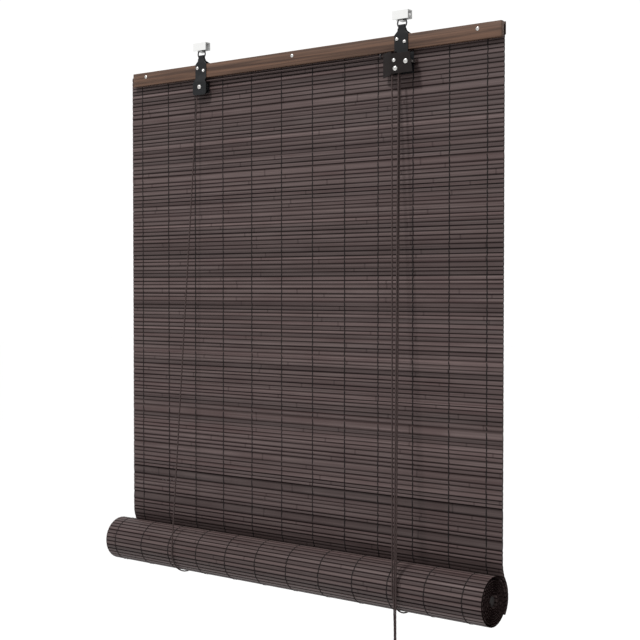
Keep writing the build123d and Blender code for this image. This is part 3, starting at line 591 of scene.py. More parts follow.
# ---------------------------------------------------------------- slats
def slat_tree(name, steps):
    """Slats on points: each one a crowned strip, as long as the mat is wide, with ragged edges."""
    tree, given = geometry_tree(
        name, ("Length", "Float"), ("Height", "Float"), ("Thickness", "Float"),
        ("Edge", "Float"), ("Ragged", "Float"), ("Seed", "Int"))
    edge, half = given["Edge"], given["Height"] * 0.5
    block = put(tree, "GeometryNodeMeshCube", {
        "Size": combine(tree, given["Length"], given["Thickness"], given["Height"]),
        "Vertices X": steps, "Vertices Y": 2, "Vertices Z": 7})["Mesh"]
    x, y, z = split(tree, put(tree, "GeometryNodeInputPosition")[0])
    turn = z.calc("DIVIDE", half) * (math.pi / 2)
    z = turn.calc("SINE") * half
    bulge = turn.calc("COSINE").calc("MAXIMUM", 0.0).calc("POWER", 0.6)
    y = y * (edge + bulge * (1.0 - edge))
    strip = place_points(tree, block, combine(tree, x, y, z))
    strip = store(tree, strip, "grain", combine(tree, x, z, y), "FLOAT_VECTOR")
    placed = put(tree, "GeometryNodeInstanceOnPoints", {
        "Points": given["Geometry"], "Instance": strip,
        "Rotation": combine(tree, named(tree, "lean")),
        "Scale": combine(tree, 1.0, 1.0, named(tree, "height"))})[0]
    chance = put(tree, "FunctionNodeRandomValue", {"Seed": given["Seed"]}, data_type="FLOAT")[1]
    placed = store(tree, placed, "tone", chance, domain="INSTANCE")
    real = put(tree, "GeometryNodeRealizeInstances", {"Geometry": placed})[0]
    along, across, _ = split(tree, named(tree, "grain", "FLOAT_VECTOR"))
    key, lean = named(tree, "tone") * 97.0, named(tree, "lean")
    wave = noise(tree, combine(tree, along * 5.0, key), 1.0, 1.0)
    swell = noise(tree, combine(tree, along * 14.0, key, 5.0), 1.0, 1.0)
    move = (wave - 0.5) * given["Ragged"] + (swell - 0.5) * (across * 0.16)
    offset = combine(tree, 0.0, move * (lean.calc("SINE") * -1.0), move * lean.calc("COSINE"))
    ragged = put(tree, "GeometryNodeSetPosition", {"Geometry": real, "Offset": offset})[0]
    close_tree(tree, smooth_but_edges(tree, ragged, 0.75), given["Material"])
    return tree


def bend_radius():
    return ((ROLL_Z - BEND_TOP) ** 2 + (MAT_END_Y - MAT_Y) ** 2) / (4 * (MAT_END_Y - MAT_Y))


def bend_length():
    """The length of the mat's two opposite bends, from upright to upright again."""
    return 4 * bend_radius() * math.atan((MAT_END_Y - MAT_Y) / (BEND_TOP - ROLL_Z))


def mat_point(drop):
    """The mat's middle line at a distance down it: y, z and lean."""
    radius = bend_radius()
    along = drop - (MAT_TOP - BEND_TOP)
    if along <= 0:
        return MAT_Y, MAT_TOP - drop, 0.0
    if along <= bend_length() / 2:
        angle = along / radius
        return MAT_Y + radius * (1 - math.cos(angle)), BEND_TOP - radius * math.sin(angle), angle
    if along <= bend_length():
        rest = (bend_length() - along) / radius
        return MAT_END_Y - radius * (1 - math.cos(rest)), ROLL_Z + radius * math.sin(rest), rest
    wrap = MAT_END_Y - ROLL_Y
    angle = (along - bend_length()) / wrap
    return ROLL_Y + wrap * math.cos(angle), ROLL_Z - wrap * math.sin(angle), -angle


def roll_point(along):
    """The rolled mat's middle line at a distance in: a round outer turn, then a spiral."""
    if along < OUTER_LENGTH:
        radius, angle = OUTER_TURN, along / OUTER_TURN
    else:
        start = OUTER_TURN - TURN_PITCH
        radius = math.sqrt(start ** 2 - TURN_PITCH * (along - OUTER_LENGTH) / math.pi)
        angle = 2 * math.pi * (start - radius) / TURN_PITCH
    return ROLL_Y + radius * math.cos(angle), ROLL_Z - radius * math.sin(angle), -angle


def mat_rows():
    """Each row's top and foot, as distances down the mat, and its lean, all a little uneven."""
    sizes = bpy.context.scene.blind_sizes
    chance = random.Random(sizes.seed)
    count = int((MAT_TOP - BEND_TOP + bend_length()) / sizes.slat_pitch) + WRAPPED_ROWS
    rows, row, top = [], 0, 0.0
    while row < count:
        pitches = 2 if row in WIDE_ROWS else 1
        row += pitches
        shift = chance.uniform(-ROW_SHIFT, ROW_SHIFT) if row < count else 0.0
        foot = row * sizes.slat_pitch + shift
        rows.append((top, foot, chance.uniform(-ROW_TILT, ROW_TILT)))
        top = foot
    return rows


def mat_parts(rows):
    """The rows behind the batten, those that hang, and those in the bend and on the roll's back."""
    lined, hung = MAT_TOP - BATTEN_LOW.z, MAT_TOP - BEND_TOP
    middles = [((row[0] + row[1]) / 2, row) for row in rows]
    return {"behind_batten": [row for at, row in middles if at < lined],
            "hanging": [row for at, row in middles if lined <= at < hung],
            "in_bend": [row for at, row in middles if at >= hung]}


def gathered_foot(rows, over=0.0):
    """The height that rises with the roll: the last hanging row's foot, or a little over it."""
    return MAT_TOP - rows[-1][1] - over


def slat_seed(name, rows, point, shift=0.0):
    """Points at the rows' middles, with each slat's height and lean. Edges overlap a little."""
    sizes = bpy.context.scene.blind_sizes
    points, height, lean = [], [], []
    for top, foot, tilt in rows:
        y, z, slope = point((top + foot) / 2)
        points.append((MAT_MID + shift, y, z))
        height.append(SLAT_OVERLAP * (foot - top) / sizes.slat_pitch)
        lean.append(slope + tilt)
    return point_mesh(name, points, height=height, lean=lean)


def slat_values(length, seed_step=0):
    """What the slats' tree needs: Edge is a share of the thickness, Ragged a slat's wander."""
    sizes = bpy.context.scene.blind_sizes
    return {"Length": length, "Height": sizes.slat_pitch, "Thickness": sizes.slat_thickness,
            "Edge": 0.12, "Ragged": 0.0006, "Seed": sizes.seed + seed_step}


class BLIND_OT_hanging_slats(bpy.types.Operator):
    """Builds the slats behind the batten, those that hang below it, and those in the mat's bend"""
    bl_idname = "blind.hanging_slats"
    bl_label = "Hanging slats"

    def execute(self, context):
        parts = mat_parts(mat_rows())
        tree = slat_tree("Slats", 22)
        made = {}
        for place, rows in parts.items():
            name = "slats_" + place
            made[place] = built(name, slat_seed(name, rows, mat_point), tree, "stained_bamboo",
                                slat_values(MAT_WIDTH, len(made)))
        finish_piece(made["behind_batten"], "headrail", "bamboo")
        rising(made["hanging"], "bamboo", BATTEN_LOW.z,
               gathered_foot(parts["hanging"], CLOSED_OVER), "narrow_slats", "wide_slats")
        finish_piece(made["in_bend"], "roll_carrier", "bamboo", "bend_slats")
        return {"FINISHED"}


# ---------------------------------------------------------------- warp threads
def thread_tree():
    """Warp threads along the seed's edges: tubes, wider across the mat than they are thick."""
    tree, given = geometry_tree("Warp threads", ("Thread Radius", "Float"), ("Flatness", "Float"))
    line = put(tree, "GeometryNodeMeshToCurve", {"Mesh": given["Geometry"]})[0]
    x, y, z = split(tree, put(tree, "GeometryNodeInputPosition")[0])
    narrowed = combine(tree, x.calc("DIVIDE", given["Flatness"]), y, z)
    section = put(tree, "GeometryNodeCurvePrimitiveCircle",
                  {"Resolution": 5, "Radius": given["Thread Radius"]})[0]
    tube = put(tree, "GeometryNodeCurveToMesh", {
        "Curve": place_points(tree, line, narrowed), "Profile Curve": section,
        "Fill Caps": True})[0]
    tube = place_points(tree, tube, combine(tree, x * given["Flatness"], y, z))
    close_tree(tree, smooth_but_edges(tree, tube, 1.4), given["Material"])
    return tree


def thread_seed(name, marks, point, columns=THREAD_COLUMNS):
    """Two threads a column, one before and one behind the slats, crossing at each row's edge."""
    sizes = bpy.context.scene.blind_sizes
    chance = random.Random(sizes.seed + 5)
    out = sizes.slat_thickness / 2 + THREAD_OUT
    points, edges = [], []
    for column in columns:
        wander = [chance.uniform(-THREAD_WANDER, THREAD_WANDER) for _ in marks]
        for side in (-1, 1):
            start = len(points)
            for (along, crossing), aside in zip(marks, wander):
                y, z, lean = point(along)
                offset = side * (THREAD_OUT if crossing else out)
                x = column + aside
                points.append((x, y + offset * math.cos(lean), z + offset * math.sin(lean)))
            edges += [(i, i + 1) for i in range(start, len(points) - 1)]
    return point_mesh(name, points, edges)


def thread_marks(rows):
    """Distances down the mat at rows' edges, where a column's threads cross, and over each slat."""
    marks = [(rows[0][0], True)]
    for top, foot, _ in rows:
        tall = foot - top
        marks += [(top + tall * 0.28, False), (top + tall * 0.72, False), (foot, True)]
    return marks


class BLIND_OT_warp_threads(bpy.types.Operator):
    """Builds the twelve columns of warp threads that hold the slats"""
    bl_idname = "blind.warp_threads"
    bl_label = "Warp threads"

    def execute(self, context):
        parts = mat_parts(mat_rows())
        tree = thread_tree()
        values = {"Thread Radius": context.scene.blind_sizes.thread_radius,
                  "Flatness": THREAD_FLATNESS}
        made = {}
        for place, rows in parts.items():
            name = "threads_" + place
            seed = thread_seed(name, thread_marks(rows), mat_point)
            made[place] = built(name, seed, tree, "warp_thread", values)
        finish_piece(made["behind_batten"], "headrail", "thread")
        rising(made["hanging"], "thread", BATTEN_LOW.z, gathered_foot(parts["hanging"]),
               "warp_threads")
        finish_piece(made["in_bend"], "roll_carrier", "thread", "bend_threads")
        return {"FINISHED"}


# ---------------------------------------------------------------- the roll
def rolled_rows():
    """The rolled mat's rows, from its outer turn in: even there, and a little uneven further in."""
    sizes = bpy.context.scene.blind_sizes
    chance = random.Random(sizes.seed + 11)
    start = OUTER_TURN - TURN_PITCH
    length = OUTER_LENGTH + math.pi * (start ** 2 - INNER_TURN ** 2) / TURN_PITCH
    rows, top = [], 0.0
    pitch = OUTER_LENGTH / round(OUTER_LENGTH / sizes.slat_pitch)
    while top + 2 * pitch < length:
        pitches = 2 if chance.random() < ROLLED_WIDE_SHARE and top > ROLLED_WIDE_FROM else 1
        inside = top > OUTER_LENGTH
        shift = chance.uniform(-ROLLED_ROW_SHIFT, ROLLED_ROW_SHIFT) if inside else 0.0
        foot = top + pitches * pitch + shift
        rows.append((top, foot, chance.uniform(-ROLLED_ROW_TILT, ROLLED_ROW_TILT)))
        top = foot
    return rows


class BLIND_OT_roll(bpy.types.Operator):
    """Builds the rolled part of the mat, turn within turn, on its core rod"""
    bl_idname = "blind.roll"
    bl_label = "Roll"

    def execute(self, context):
        rows = rolled_rows()
        slats = built("slats_rolled", slat_seed("rolled", rows, roll_point, ROLLED_SHIFT),
                      slat_tree("Rolled slats", 8), "stained_bamboo", slat_values(ROLLED_LENGTH))
        finish_piece(slats, "mat_roll", "bamboo", "mat_roll")
        seed = thread_seed("rolled", thread_marks(rows), roll_point, ROLLED_COLUMNS)
        values = {"Thread Radius": ROLLED_THREAD_RADIUS, "Flatness": ROLLED_THREAD_FLATNESS}
        threads = built("threads_rolled", seed, bpy.data.node_groups["Warp threads"],
                        "warp_thread", values)
        finish_piece(threads, "mat_roll", "thread")
        paint_node("core_rod", "dark_rod")
        return {"FINISHED"}


def paint_node(node, material):
    """Gives a CAD node that stays its material."""
    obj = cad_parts[node]
    obj.data.materials.clear()
    obj.data.materials.append(materials()[material])


# ---------------------------------------------------------------- boards
def board(name, low, high, edge, material, seed, steps=60):
    """A planed board: rounded long edges, its faces a little uneven, and eased ends."""
    chance = random.Random(seed)
    y0, y1, z0, z1 = low.y, high.y, low.z, high.z
    quarter = [(math.cos(i * math.pi / 8), math.sin(i * math.pi / 8)) for i in range(5)]
    section = []
    for cy, cz, turn in ((y1, z1, 0), (y0, z1, 1), (y0, z0, 2), (y1, z0, 3)):
        sy, sz = (-1 if cy == y1 else 1), (-1 if cz == z1 else 1)
        for c, s in (quarter if turn % 2 == 0 else quarter[::-1]):
            section.append((cy + sy * edge * (1 - c), cz + sz * edge * (1 - s)))
    mid_y, mid_z = (y0 + y1) / 2, (z0 + z1) / 2
    verts = []
    xs = [low.x, low.x + edge * 0.4, low.x + edge] + [
        low.x + edge + (high.x - low.x - 2 * edge) * (i + 1) / steps for i in range(steps)]
    xs += [high.x - edge * 0.4, high.x]
    for i, x in enumerate(xs):
        inset = edge * {0: 1.0, 1: 0.35, len(xs) - 2: 0.35, len(xs) - 1: 1.0}.get(i, 0.0)
        bow = BOARD_WAVE * math.sin(x * 9) + chance.uniform(-BOARD_ROUGH, BOARD_ROUGH)
        for y, z in section:
            dy, dz = y - mid_y, z - mid_z
            verts.append((x, mid_y + dy - math.copysign(min(inset, abs(dy)), dy),
                          mid_z + dz - math.copysign(min(inset, abs(dz)), dz) + bow))
    obj = mesh_piece(name, verts, skin(len(xs), len(section)), material)
    face_out(obj)
    sharpen(obj, 50)
    return obj


class BLIND_OT_battens(bpy.types.Operator):
    """Builds the stained batten across the mat's top and the thin strip behind it"""
    bl_idname = "blind.battens"
    bl_label = "Battens"

    def execute(self, context):
        front = board("walnut_batten", BATTEN_LOW, BATTEN_HIGH, 0.0008, "walnut_batten", 3)
        finish_piece(front, "headrail", "batten_wood", "batten")
        rear = board("rear_batten", STRIP_LOW, STRIP_HIGH, 0.0006, "dark_strip", 8)
        finish_piece(rear, "headrail", "strip_wood", "rear_strip")
        return {"FINISHED"}


# ---------------------------------------------------------------- metal pieces
def refined(name, node, material, slot, edge, angle=35, segments=2, body="headrail"):
    """A piece in a CAD node's place: its shape as a merged copy with softened edges."""
    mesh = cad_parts[node].data.copy()
    mesh.materials.clear()
    mesh.materials.append(materials()[material])
    with editing(mesh) as work:
        bmesh.ops.remove_doubles(work, verts=work.verts, dist=2e-6)
        bmesh.ops.dissolve_limit(work, angle_limit=math.radians(1.0), verts=work.verts,
                                 edges=work.edges)
        for face in work.faces:
            face.smooth = True
    obj = shown(name, mesh)
    modifier = obj.modifiers.new("Edges", "BEVEL")
    modifier.width = edge
    modifier.segments = segments
    modifier.limit_method = "ANGLE"
    modifier.angle_limit = math.radians(angle)
    even = obj.modifiers.new("Normals", "WEIGHTED_NORMAL")
    even.mode = "FACE_AREA"
    even.weight = 100
    even.keep_sharp = True
    graph = bpy.context.evaluated_depsgraph_get()
    final = bpy.data.meshes.new_from_object(obj.evaluated_get(graph), depsgraph=graph)
    obj.modifiers.clear()
    obj.data = final
    return finish_piece(obj, body, slot, node)


class BLIND_OT_hangers(bpy.types.Operator):
    """Builds the ceiling brackets, the wire rings and the straps over the batten"""
    bl_idname = "blind.hangers"
    bl_label = "Hangers"

    def execute(self, context):
        for side in ("left", "right"):
            refined(side + "_bracket", side + "_ceiling_bracket", "white_bracket",
                    "bracket_white", 0.0004)
            refined(side + "_ring", side + "_hanger_ring", "black_ring", "ring_steel",
                    0.0001, 60, 1)
            refined(side + "_hanger_strap", side + "_strap", "black_strap", "black_steel", 0.00022)
        refined("left_back_plate", "left_pulley_back_plate", "black_strap", "black_steel", 0.0002)
        return {"FINISHED"}


def lathe(name, profile, material, steps=28):
    """A solid turned about Z from (radius, z) points, both ends on the axis."""
    verts, faces = [(0, 0, profile[0][1])], []
    for r, z in profile[1:-1]:
        for k in range(steps):
            a = 2 * math.pi * k / steps
            verts.append((r * math.cos(a), r * math.sin(a), z))
    verts.append((0, 0, profile[-1][1]))
    rings = len(profile) - 2
    for k in range(steps):
        n = (k + 1) % steps
        faces.append((0, 1 + k, 1 + n))
        for i in range(rings - 1):
            a = 1 + i * steps
            faces.append((a + k, a + steps + k, a + steps + n, a + n))
        a = 1 + (rings - 1) * steps
        faces.append((a + k, len(verts) - 1, a + n))
    obj = mesh_piece(name, verts, faces, material)
    face_out(obj)
    return obj


def dome_tree():
    """Domed heads on points, turned to face the room, each with its own radius and height."""
    tree, given = geometry_tree("Domed heads", ("Head", "Object"))
    head = put(tree, "GeometryNodeObjectInfo", {"Object": given["Head"]})["Geometry"]
    wide = named(tree, "wide")
    placed = put(tree, "GeometryNodeInstanceOnPoints", {
        "Points": given["Geometry"], "Instance": head, "Rotation": (math.pi / 2, 0.0, 0.0),
        "Scale": combine(tree, wide, wide, named(tree, "tall"))})[0]
    close_tree(tree, placed, given["Material"])
    return tree


class BLIND_OT_studs(bpy.types.Operator):
    """Builds the domed heads of the batten's nails and of every rivet"""
    bl_idname = "blind.studs"
    bl_label = "Nails and rivets"

    def execute(self, context):
        curve = [(0, 1.0), (0.22, 0.975), (0.44, 0.89), (0.64, 0.74), (0.82, 0.52), (0.94, 0.26),
                 (1.0, 0.08), (1.0, -0.04), (0.9, -0.10), (0, -0.10)]
        head = lathe("head", curve, "bright_nickel")
        tree = dome_tree()
        sets = (("nail_heads", "batten_nails", 3, NAIL_HEAD),
                ("left_strap_studs", "left_strap_rivets", 2, RIVET_HEAD),
                ("right_strap_studs", "right_strap_rivets", 2, RIVET_HEAD),
                ("left_pulley_stud", "left_pulley_rivet", 1, BIG_HEAD),
                ("guide_stud", "lock_guide_rivet", 1, GUIDE_HEAD),
                ("anvil_stud", "lock_anvil_rivet", 1, BIG_HEAD),
                ("cam_stud", "lock_cam_rivet", 1, BIG_HEAD))
        for name, node, count, (wide, tall) in sets:
            paint_node(node, "bright_nickel")
            seed = point_mesh(name, head_places(node, count), wide=[wide] * count,
                              tall=[tall] * count)
            obj = built(name, seed, tree, "bright_nickel", {"Head": head})
            finish_piece(obj, "headrail", "nickel")
        bpy.data.objects.remove(head)
        return {"FINISHED"}


def head_places(node, count):
    """Where a node's domed heads sit: its front points, grouped by X, pushed back to their rims."""
    verts = [v.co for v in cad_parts[node].data.vertices]
    front = min(v.y for v in verts)
    tips = sorted({(round(v.x, 5), round(v.z, 5)) for v in verts if v.y < front + 0.00006})
    found = []
    for x, z in tips:
        if all(abs(x - f[0]) + abs(z - f[1]) > 0.004 for f in found):
            near = [t for t in tips if abs(t[0] - x) + abs(t[1] - z) < 0.004]
            found.append(tuple(sum(t[k] for t in near) / len(near) for k in (0, 1)))
    if len(found) != count:
        raise RuntimeError("%s has %d heads, not %d" % (node, len(found), count))
    tall = (NAIL_HEAD if node == "batten_nails" else RIVET_HEAD)[1]
    return [(x, front + tall, z) for x, z in found]


class BLIND_OT_cord_lock(bpy.types.Operator):
    """Builds the cord lock's cover, guide wheel, anvil and cam, and the left pulley's wheel"""
    bl_idname = "blind.cord_lock"
    bl_label = "Cord lock"

    def execute(self, context):
        refined("cord_lock_cover", "lock_cover", "brown_cover", "lock_brown", 0.00025)
        refined("cord_lock_cam", "lock_cam", "plain_steel", "cam_steel", 0.00018, body="cam")
        refined("left_sheave", "left_pulley_wheel", "black_nylon", "wheel_plastic", 0.00015,
                40, body="left_wheel")
        refined("guide_sheave", "lock_guide_pulley", "black_nylon", "wheel_plastic", 0.00015,
                40, body="guide_wheel")
        refined("cord_lock_anvil", "lock_anvil", "plain_steel", "cam_steel", 0.00015, 40)
        for node in ("cord_entry_eye", "left_rear_eye", "right_rear_eye"):
            refined(node.replace("eye", "screw_eye"), node, "black_ring", "ring_steel",
                    0.0001, 60, 1)
        return {"FINISHED"}


# ---------------------------------------------------------------- cords
def rope(name, line, share=1.0):
    """A three strand twisted cord along a line of points, closed at both ends."""
    radius = share * bpy.context.scene.blind_sizes.cord_diameter / 2
    line = np.array([tuple(p) for p in line], float)
    gaps = np.linalg.norm(np.diff(line, axis=0), axis=1)
    along = np.concatenate([[0], np.cumsum(gaps)])
    count = max(4, int(along[-1] / ROPE_STEP))
    spots = np.linspace(0, along[-1], count + 1)
    line = np.stack([np.interp(spots, along, line[:, k]) for k in range(3)], axis=1)
    tangent = np.gradient(line, axis=0)
    tangent /= np.linalg.norm(tangent, axis=1)[:, None]
    side = np.cross(tangent[0], (0.31, 0.87, 0.38))
    side /= np.linalg.norm(side)
    verts, lay, distance = [], [], 0.0
    for i, (point, direction) in enumerate(zip(line, tangent)):
        side = side - direction * (side @ direction)
        side /= np.linalg.norm(side)
        up = np.cross(direction, side)
        if i:
            distance += float(np.linalg.norm(line[i] - line[i - 1]))
        for k in range(ROPE_SIDES):
            angle = 2 * math.pi * k / ROPE_SIDES
            strand = angle * 3 - 2 * math.pi * distance / ROPE_TWIST
            crest = 0.5 + 0.5 * math.cos(strand)
            reach = radius * (0.86 + 0.17 * crest ** 0.6)
            verts.append(point + reach * (math.cos(angle) * side + math.sin(angle) * up))
            lay.append((strand / (2 * math.pi), distance, crest))
    obj = mesh_piece(name, verts, skin(len(line), ROPE_SIDES), "brown_cord")
    spots = obj.data.attributes.new("lay", "FLOAT_VECTOR", "POINT")
    spots.data.foreach_set("vector", np.array(lay, np.float32).ravel())
    sharpen(obj, 70)
    return obj


def smooth_line(points, resolution=10):
    """The points of one NURBS spline through a route."""
    curve = bpy.data.curves.new("route", "CURVE")
    curve.dimensions = "3D"
    curve.resolution_u = resolution
    spline = curve.splines.new("NURBS")
    spline.points.add(len(points) - 1)
    for spot, point in zip(spline.points, points):
        spot.co = (*point, 1)
    spline.order_u = 3
    spline.use_endpoint_u = True
    holder = shown("route", curve)
    graph = bpy.context.evaluated_depsgraph_get()
    mesh = bpy.data.meshes.new_from_object(holder.evaluated_get(graph))
    line = [v.co.copy() for v in mesh.vertices]
    bpy.data.objects.remove(holder)
    bpy.data.meshes.remove(mesh)
    return line


def arc(middle, radius, first, last, steps):
    """Points on part of a circle that faces the room, in degrees from X towards Z."""
    points = []
    for i in range(steps + 1):
        a = math.radians(first + (last - first) * i / steps)
        points.append((middle[0] + radius * math.cos(a), middle[1],
                       middle[2] + radius * math.sin(a)))
    return points


def sling_points(x):
    """A lift cord's way under the roll: close round its front and foot, clear of the mat behind."""
    points = []
    for i in range(61):
        angle = math.pi * (1 + i / 60)
        behind = min(1.0, max(0.0, (i - 36) / 9))
        reach = SLING_REACH + SLING_CLEAR * behind ** 2 * (3 - 2 * behind)
        points.append((x, ROLL_Y + reach * math.cos(angle), ROLL_Z + reach * math.sin(angle)))
    return points


class BLIND_OT_lift_cords(bpy.types.Operator):
    """Builds the lift cords: down the mat, under the roll, up behind it, and through the lock"""
    bl_idname = "blind.lift_cords"
    bl_label = "Lift cords"

    def execute(self, context):
        front_y, back_y = sling_points(0)[0][1], sling_points(0)[-1][1]
        left_top = (-HANGER_X - PULLEY_R, PULLEY_Y, LIFT_TOP_Z)
        right_top = (GUIDE_X - GUIDE_R, FRONT_GROOVE_Y, GUIDE_Z - GUIDE_DROP)
        for side, x, top, eye_x in (("left", LIFT_LEFT_X, left_top, -REAR_EYE_X),
                                    ("right", LIFT_RIGHT_X, right_top, REAR_EYE_X)):
            front = rope(side + "_lift_front", [top, (x, front_y, ROLL_Z)])
            rising(front, "cord", top[2], ROLL_Z, side + "_lift_cord_front")
            eye = (eye_x, REAR_EYE_Y, REAR_EYE_Z)
            back = rope(side + "_lift_back", [eye, (x, back_y, ROLL_Z)])
            rising(back, "cord", eye[2], ROLL_Z, side + "_lift_cord_back")
            sling = rope(side + "_sling", sling_points(x))
            finish_piece(sling, "roll_carrier", "cord", side + "_lift_sling")
            knot = [tuple(a + b for a, b in zip(eye, spot)) for spot in EYE_KNOT]
            finish_piece(rope(side + "_eye_knot", smooth_line(knot), 0.9), "headrail", "cord")
        over = arc((GUIDE_X, FRONT_GROOVE_Y, GUIDE_Z), GUIDE_R, 180, 0, 20)
        inside = rope("right_cord_in_cord_lock", over + [(PULL_X, FRONT_GROOVE_Y, LOCK_EXIT_Z)])
        finish_piece(inside, "headrail", "cord", "right_cord_in_lock")
        crossing = arc((-HANGER_X, PULLEY_Y, PULLEY_Z), PULLEY_R, 180, 90, 16) + CROSSING
        crossing += arc((GUIDE_X, REAR_GROOVE_Y, GUIDE_Z), GUIDE_R, 62, 0, 12)
        crossing.append((PULL_X, REAR_GROOVE_Y, LOCK_EXIT_Z))
        finish_piece(rope("left_cord_across", crossing), "headrail", "cord", "left_cord_crossover")
        return {"FINISHED"}


def hank_points(way):
    """A pull cord's turns in the hank: way is 1 for the left cord, in front, and -1 if right."""
    top_z = HANK_TOP - HANK_OUTER - CORD_R
    low_z, half_z = top_z - HANK_STRAIGHT, top_z - HANK_STRAIGHT * 0.5
    layers = [HANK_Y - way * (HANK_FIRST + HANK_LAYER * i) for i in range(3)]

    def at(out, y, z):
        return HANK_X + way * out, y, z

    points = [at(0.0082, layers[0], top_z + 0.0075)]
    for here, below, r, next_r, bulge in (
            (0, 1, HANK_OUTER, HANK_OUTER, 0.0), (1, 2, HANK_OUTER, HANK_OUTER, 0.0),
            (2, 2, HANK_OUTER, HANK_INNER, 0.0012), (2, 1, HANK_INNER, HANK_INNER, 0.0),
            (1, 0, HANK_INNER, HANK_INNER, 0.0), (0, 0, HANK_INNER, HANK_INNER, 0.0)):
        y, next_y = layers[here], layers[below]
        points += [at(r, y, top_z - 0.004), at(r, y, half_z), at(r, y, low_z + 0.002)]
        for degrees in (-28, -62, -90, -118, -152):
            a, wide = math.radians(degrees), HANK_BULGE * r
            points.append(at(wide * math.cos(a), y, low_z + wide * math.sin(a)))
        points += [at(-r, y, low_z + 0.002), at(-r, y, half_z), at(-r, y, top_z - 0.002)]
        for degrees, share in ((152, 0.2), (118, 0.4), (90, 0.5), (62, 0.6), (28, 0.8)):
            a, wide = math.radians(degrees), HANK_BULGE * (r + (next_r - r) * share)
            off = y + (next_y - y) * share - way * bulge * math.sin(math.pi * share)
            points.append(at(wide * math.cos(a), off, top_z + wide * math.sin(a)))
    return points + [
        at(0.0073, layers[0], top_z - 0.004), at(0.0058, layers[0] + way * 0.0008, top_z - 0.014),
        at(0.0030, HANK_Y - way * 0.0008, low_z + 0.008),
        *(at(HANK_TAIL, HANK_Y, low_z - down) for down in (0.003, 0.014, 0.026))]


class BLIND_OT_pull_cords(bpy.types.Operator):
    """Builds the two pull cords, from the lock to the tassel, with their turns in the hank"""
    bl_idname = "blind.pull_cords"
    bl_label = "Pull cords"

    def execute(self, context):
        tie = context.scene.objects["hank_band"]
        tassel = context.scene.objects["wooden_tassel"]
        for side, way, route in (("left", 1, LEFT_PULL), ("right", -1, RIGHT_PULL)):
            line = smooth_line(route + hank_points(way))
            cord = rope(side + "_pull_rope", line)
            nodes = [side + "_pull_cord", side + "_cord_hank"]
            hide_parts(*nodes + (["tassel_cord_ends"] if way > 0 else []))
            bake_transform(cord)
            route[0]
        return {"FINISHED"}


def ring_line(half_x, half_y, corner, z, steps=6):
    """A closed rounded rectangle round the hank, as points."""
    points = []
    for sx, sy, first in ((1, 1, 0), (-1, 1, 90), (-1, -1, 180), (1, -1, 270)):
        for i in range(steps + 1):
            a = math.radians(first + 90 * i / steps)
            points.append((HANK_X + sx * (half_x - corner) + corner * math.cos(a),
                           HANK_Y + sy * (half_y - corner) + corner * math.sin(a), z))
    return points


def closed_tube(name, line, radius, flat, material, sides=10):
    """A tube round a closed line of points that lies level, flat times as tall as it is thick."""
    verts, count = [], len(line)
    for i in range(count):
        before, here, after = (Vector(line[(i + k) % count]) for k in (-1, 0, 1))
        direction = (after - before).normalized()
        side = direction.cross(Vector((0, 0, 1))).normalized()
        for k in range(sides):
            a = 2 * math.pi * k / sides
            verts.append(here + side * radius * math.cos(a)
                         + Vector((0, 0, 1)) * radius * flat * math.sin(a))
    obj = mesh_piece(name, verts, skin(count, sides, loop=True), material)
    face_out(obj)
    return obj


class BLIND_OT_tassel(bpy.types.Operator):
    """Builds the turned wooden tassel and the band round the hank"""
    bl_idname = "blind.tassel"
    bl_label = "Tassel and band"

    def execute(self, context):
        low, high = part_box("pull_tassel")
        tall = high.z - low.z
        curve = [(0.0, 0.985), (0.0031, 0.985), (0.0034, 0.998), (0.0040, 1.0), (0.0045, 0.985),
                 (0.0047, 0.94), (0.0044, 0.90), (0.0044, 0.875), (0.0048, 0.86), (0.0052, 0.76),
                 (0.0059, 0.60), (0.0067, 0.44), (0.0073, 0.32), (0.0075, 0.26), (0.0074, 0.215),
                 (0.0070, 0.205), (0.0070, 0.185), (0.0073, 0.17), (0.0072, 0.11), (0.0066, 0.05),
                 (0.0055, 0.012), (0.0040, 0.0), (0.0, 0.0)]
        tassel = lathe("wooden_tassel", [(r, low.z + s * tall) for r, s in curve],
                       "tassel_wood", 36)
        for vert in tassel.data.vertices:
            vert.co.x += HANK_X
            vert.co.y += HANK_Y
        finish_piece(tassel, "tassel", "tassel_wood", "pull_tassel")
        sharpen(tassel, 45)
        middle = HANK_TOP - HANK_OUTER - CORD_R - HANK_STRAIGHT / 2
        mesh = bpy.data.meshes.new("hank_band")
        joined = bmesh.new()
        for z, off in ((-BAND_STEP, 0.0), (0.0, 0.0002), (BAND_STEP, 0.0)):
            line = ring_line(HANK_OUTER + CORD_R + BAND_CLEAR + off, BAND_HALF_Y, BAND_CORNER,
                             middle + z)
            band = closed_tube("band", line, BAND_R, BAND_FLAT, "black_band")
            joined.from_mesh(band.data)
            bpy.data.objects.remove(band)
        joined.to_mesh(mesh)
        joined.free()
        mesh.materials.append(materials()["black_band"])
        finish_piece(shown("hank_band", mesh), "tassel", "tie_band", "hank_tie")
        return {"FINISHED"}


# ---------------------------------------------------------------- stage
def area_light(name, place, target, size, energy):
    data = bpy.data.lights.new(name, "AREA")
    data.size = size
    data.energy = energy
    light = shown(name, data)
    light.location = place
    light.rotation_euler = (Vector(target) - Vector(place)).to_track_quat("-Z", "Y").to_euler()


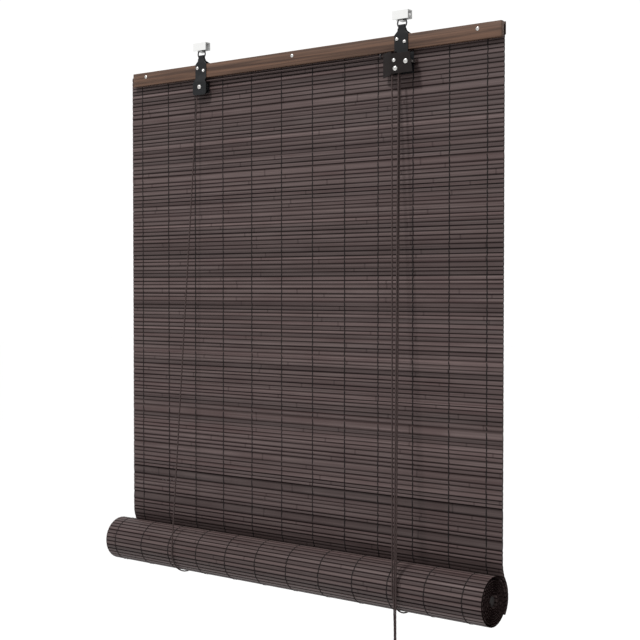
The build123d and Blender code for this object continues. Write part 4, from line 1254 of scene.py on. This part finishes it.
class BLIND_OT_stage(bpy.types.Operator):
    """Sets the camera, the pale floor and the soft studio light"""
    bl_idname = "blind.stage"
    bl_label = "Stage"

    def execute(self, context):
        scene = context.scene
        data = bpy.data.cameras.new("camera")
        data.sensor_width = 36.0
        data.lens = FOCAL_LENGTH
        data.clip_start, data.clip_end = 0.05, 100.0
        camera = shown("camera", data)
        camera.location = CAMERA_PLACE
        camera.rotation_euler = (math.pi / 2 - CAMERA_DIP, 0.0, CAMERA_TURN)
        scene.camera = camera
        scene.view_settings.view_transform = "Standard"
        scene.view_settings.look = "None"
        tree = new_material("pale_floor")
        feed(tree, tree.nodes["Principled BSDF"], {
            "Base Color": (0.95, 0.95, 0.95, 1), "Roughness": 0.9, "Specular IOR Level": 0.1})
        corners = [(x * FLOOR_HALF, y * FLOOR_HALF, FLOOR_Z)
                   for x, y in ((-1, -1), (1, -1), (1, 1), (-1, 1))]
        floor = mesh_piece("floor", corners, [(0, 1, 2, 3)], "pale_floor", smooth=False)
        world = bpy.data.worlds.new("studio")
        scene.world = world
        world.use_nodes = True
        back = world.node_tree.nodes["Background"]
        back.inputs["Color"].default_value = (1.0, 1.0, 1.0, 1)
        back.inputs["Strength"].default_value = 1.06
        area_light("key", (-0.35, -2.2, 2.5), (0.0, 0.0, -0.45), 0.5, 165.0)
        area_light("fill", (2.6, -1.8, 1.2), (0.0, 0.0, -0.5), 2.0, 6.0)
        return {"FINISHED"}


class BLIND_PT_panel(bpy.types.Panel):
    """Lists the blind's sizes, colours and pieces"""
    bl_idname = "BLIND_PT_panel"
    bl_label = "Bamboo blind"
    bl_space_type = "VIEW_3D"
    bl_region_type = "UI"
    bl_category = "Blind"

    def draw(self, context):
        for group in (context.scene.blind_sizes, context.scene.blind_colours):
            for key in group.bl_rna.properties.keys():
                if key not in ("rna_type", "name"):
                    self.layout.prop(group, key)
        for operator in OPERATORS:
            self.layout.operator(operator.bl_idname)


OPERATORS = (
    BLIND_OT_stage, BLIND_OT_hanging_slats, BLIND_OT_warp_threads, BLIND_OT_roll, BLIND_OT_battens,
    BLIND_OT_hangers, BLIND_OT_studs, BLIND_OT_cord_lock, BLIND_OT_lift_cords, BLIND_OT_tassel,
    BLIND_OT_pull_cords,
)
CLASSES = (BlindSizes, BlindColours, *OPERATORS, BLIND_PT_panel)


def register():
    for item in CLASSES:
        bpy.utils.register_class(item)
    bpy.types.Scene.blind_sizes = bpy.props.PointerProperty(type=BlindSizes)
    bpy.types.Scene.blind_colours = bpy.props.PointerProperty(type=BlindColours)


def unregister():
    del bpy.types.Scene.blind_colours
    del bpy.types.Scene.blind_sizes
    for item in reversed(CLASSES):
        bpy.utils.unregister_class(item)


def main():
    """Builds every piece in order."""
    register()
    for operator in OPERATORS:
        name = operator.bl_idname.split(".")[1]
        getattr(bpy.ops.blind, name)()


if __name__ == "__main__":
    main()
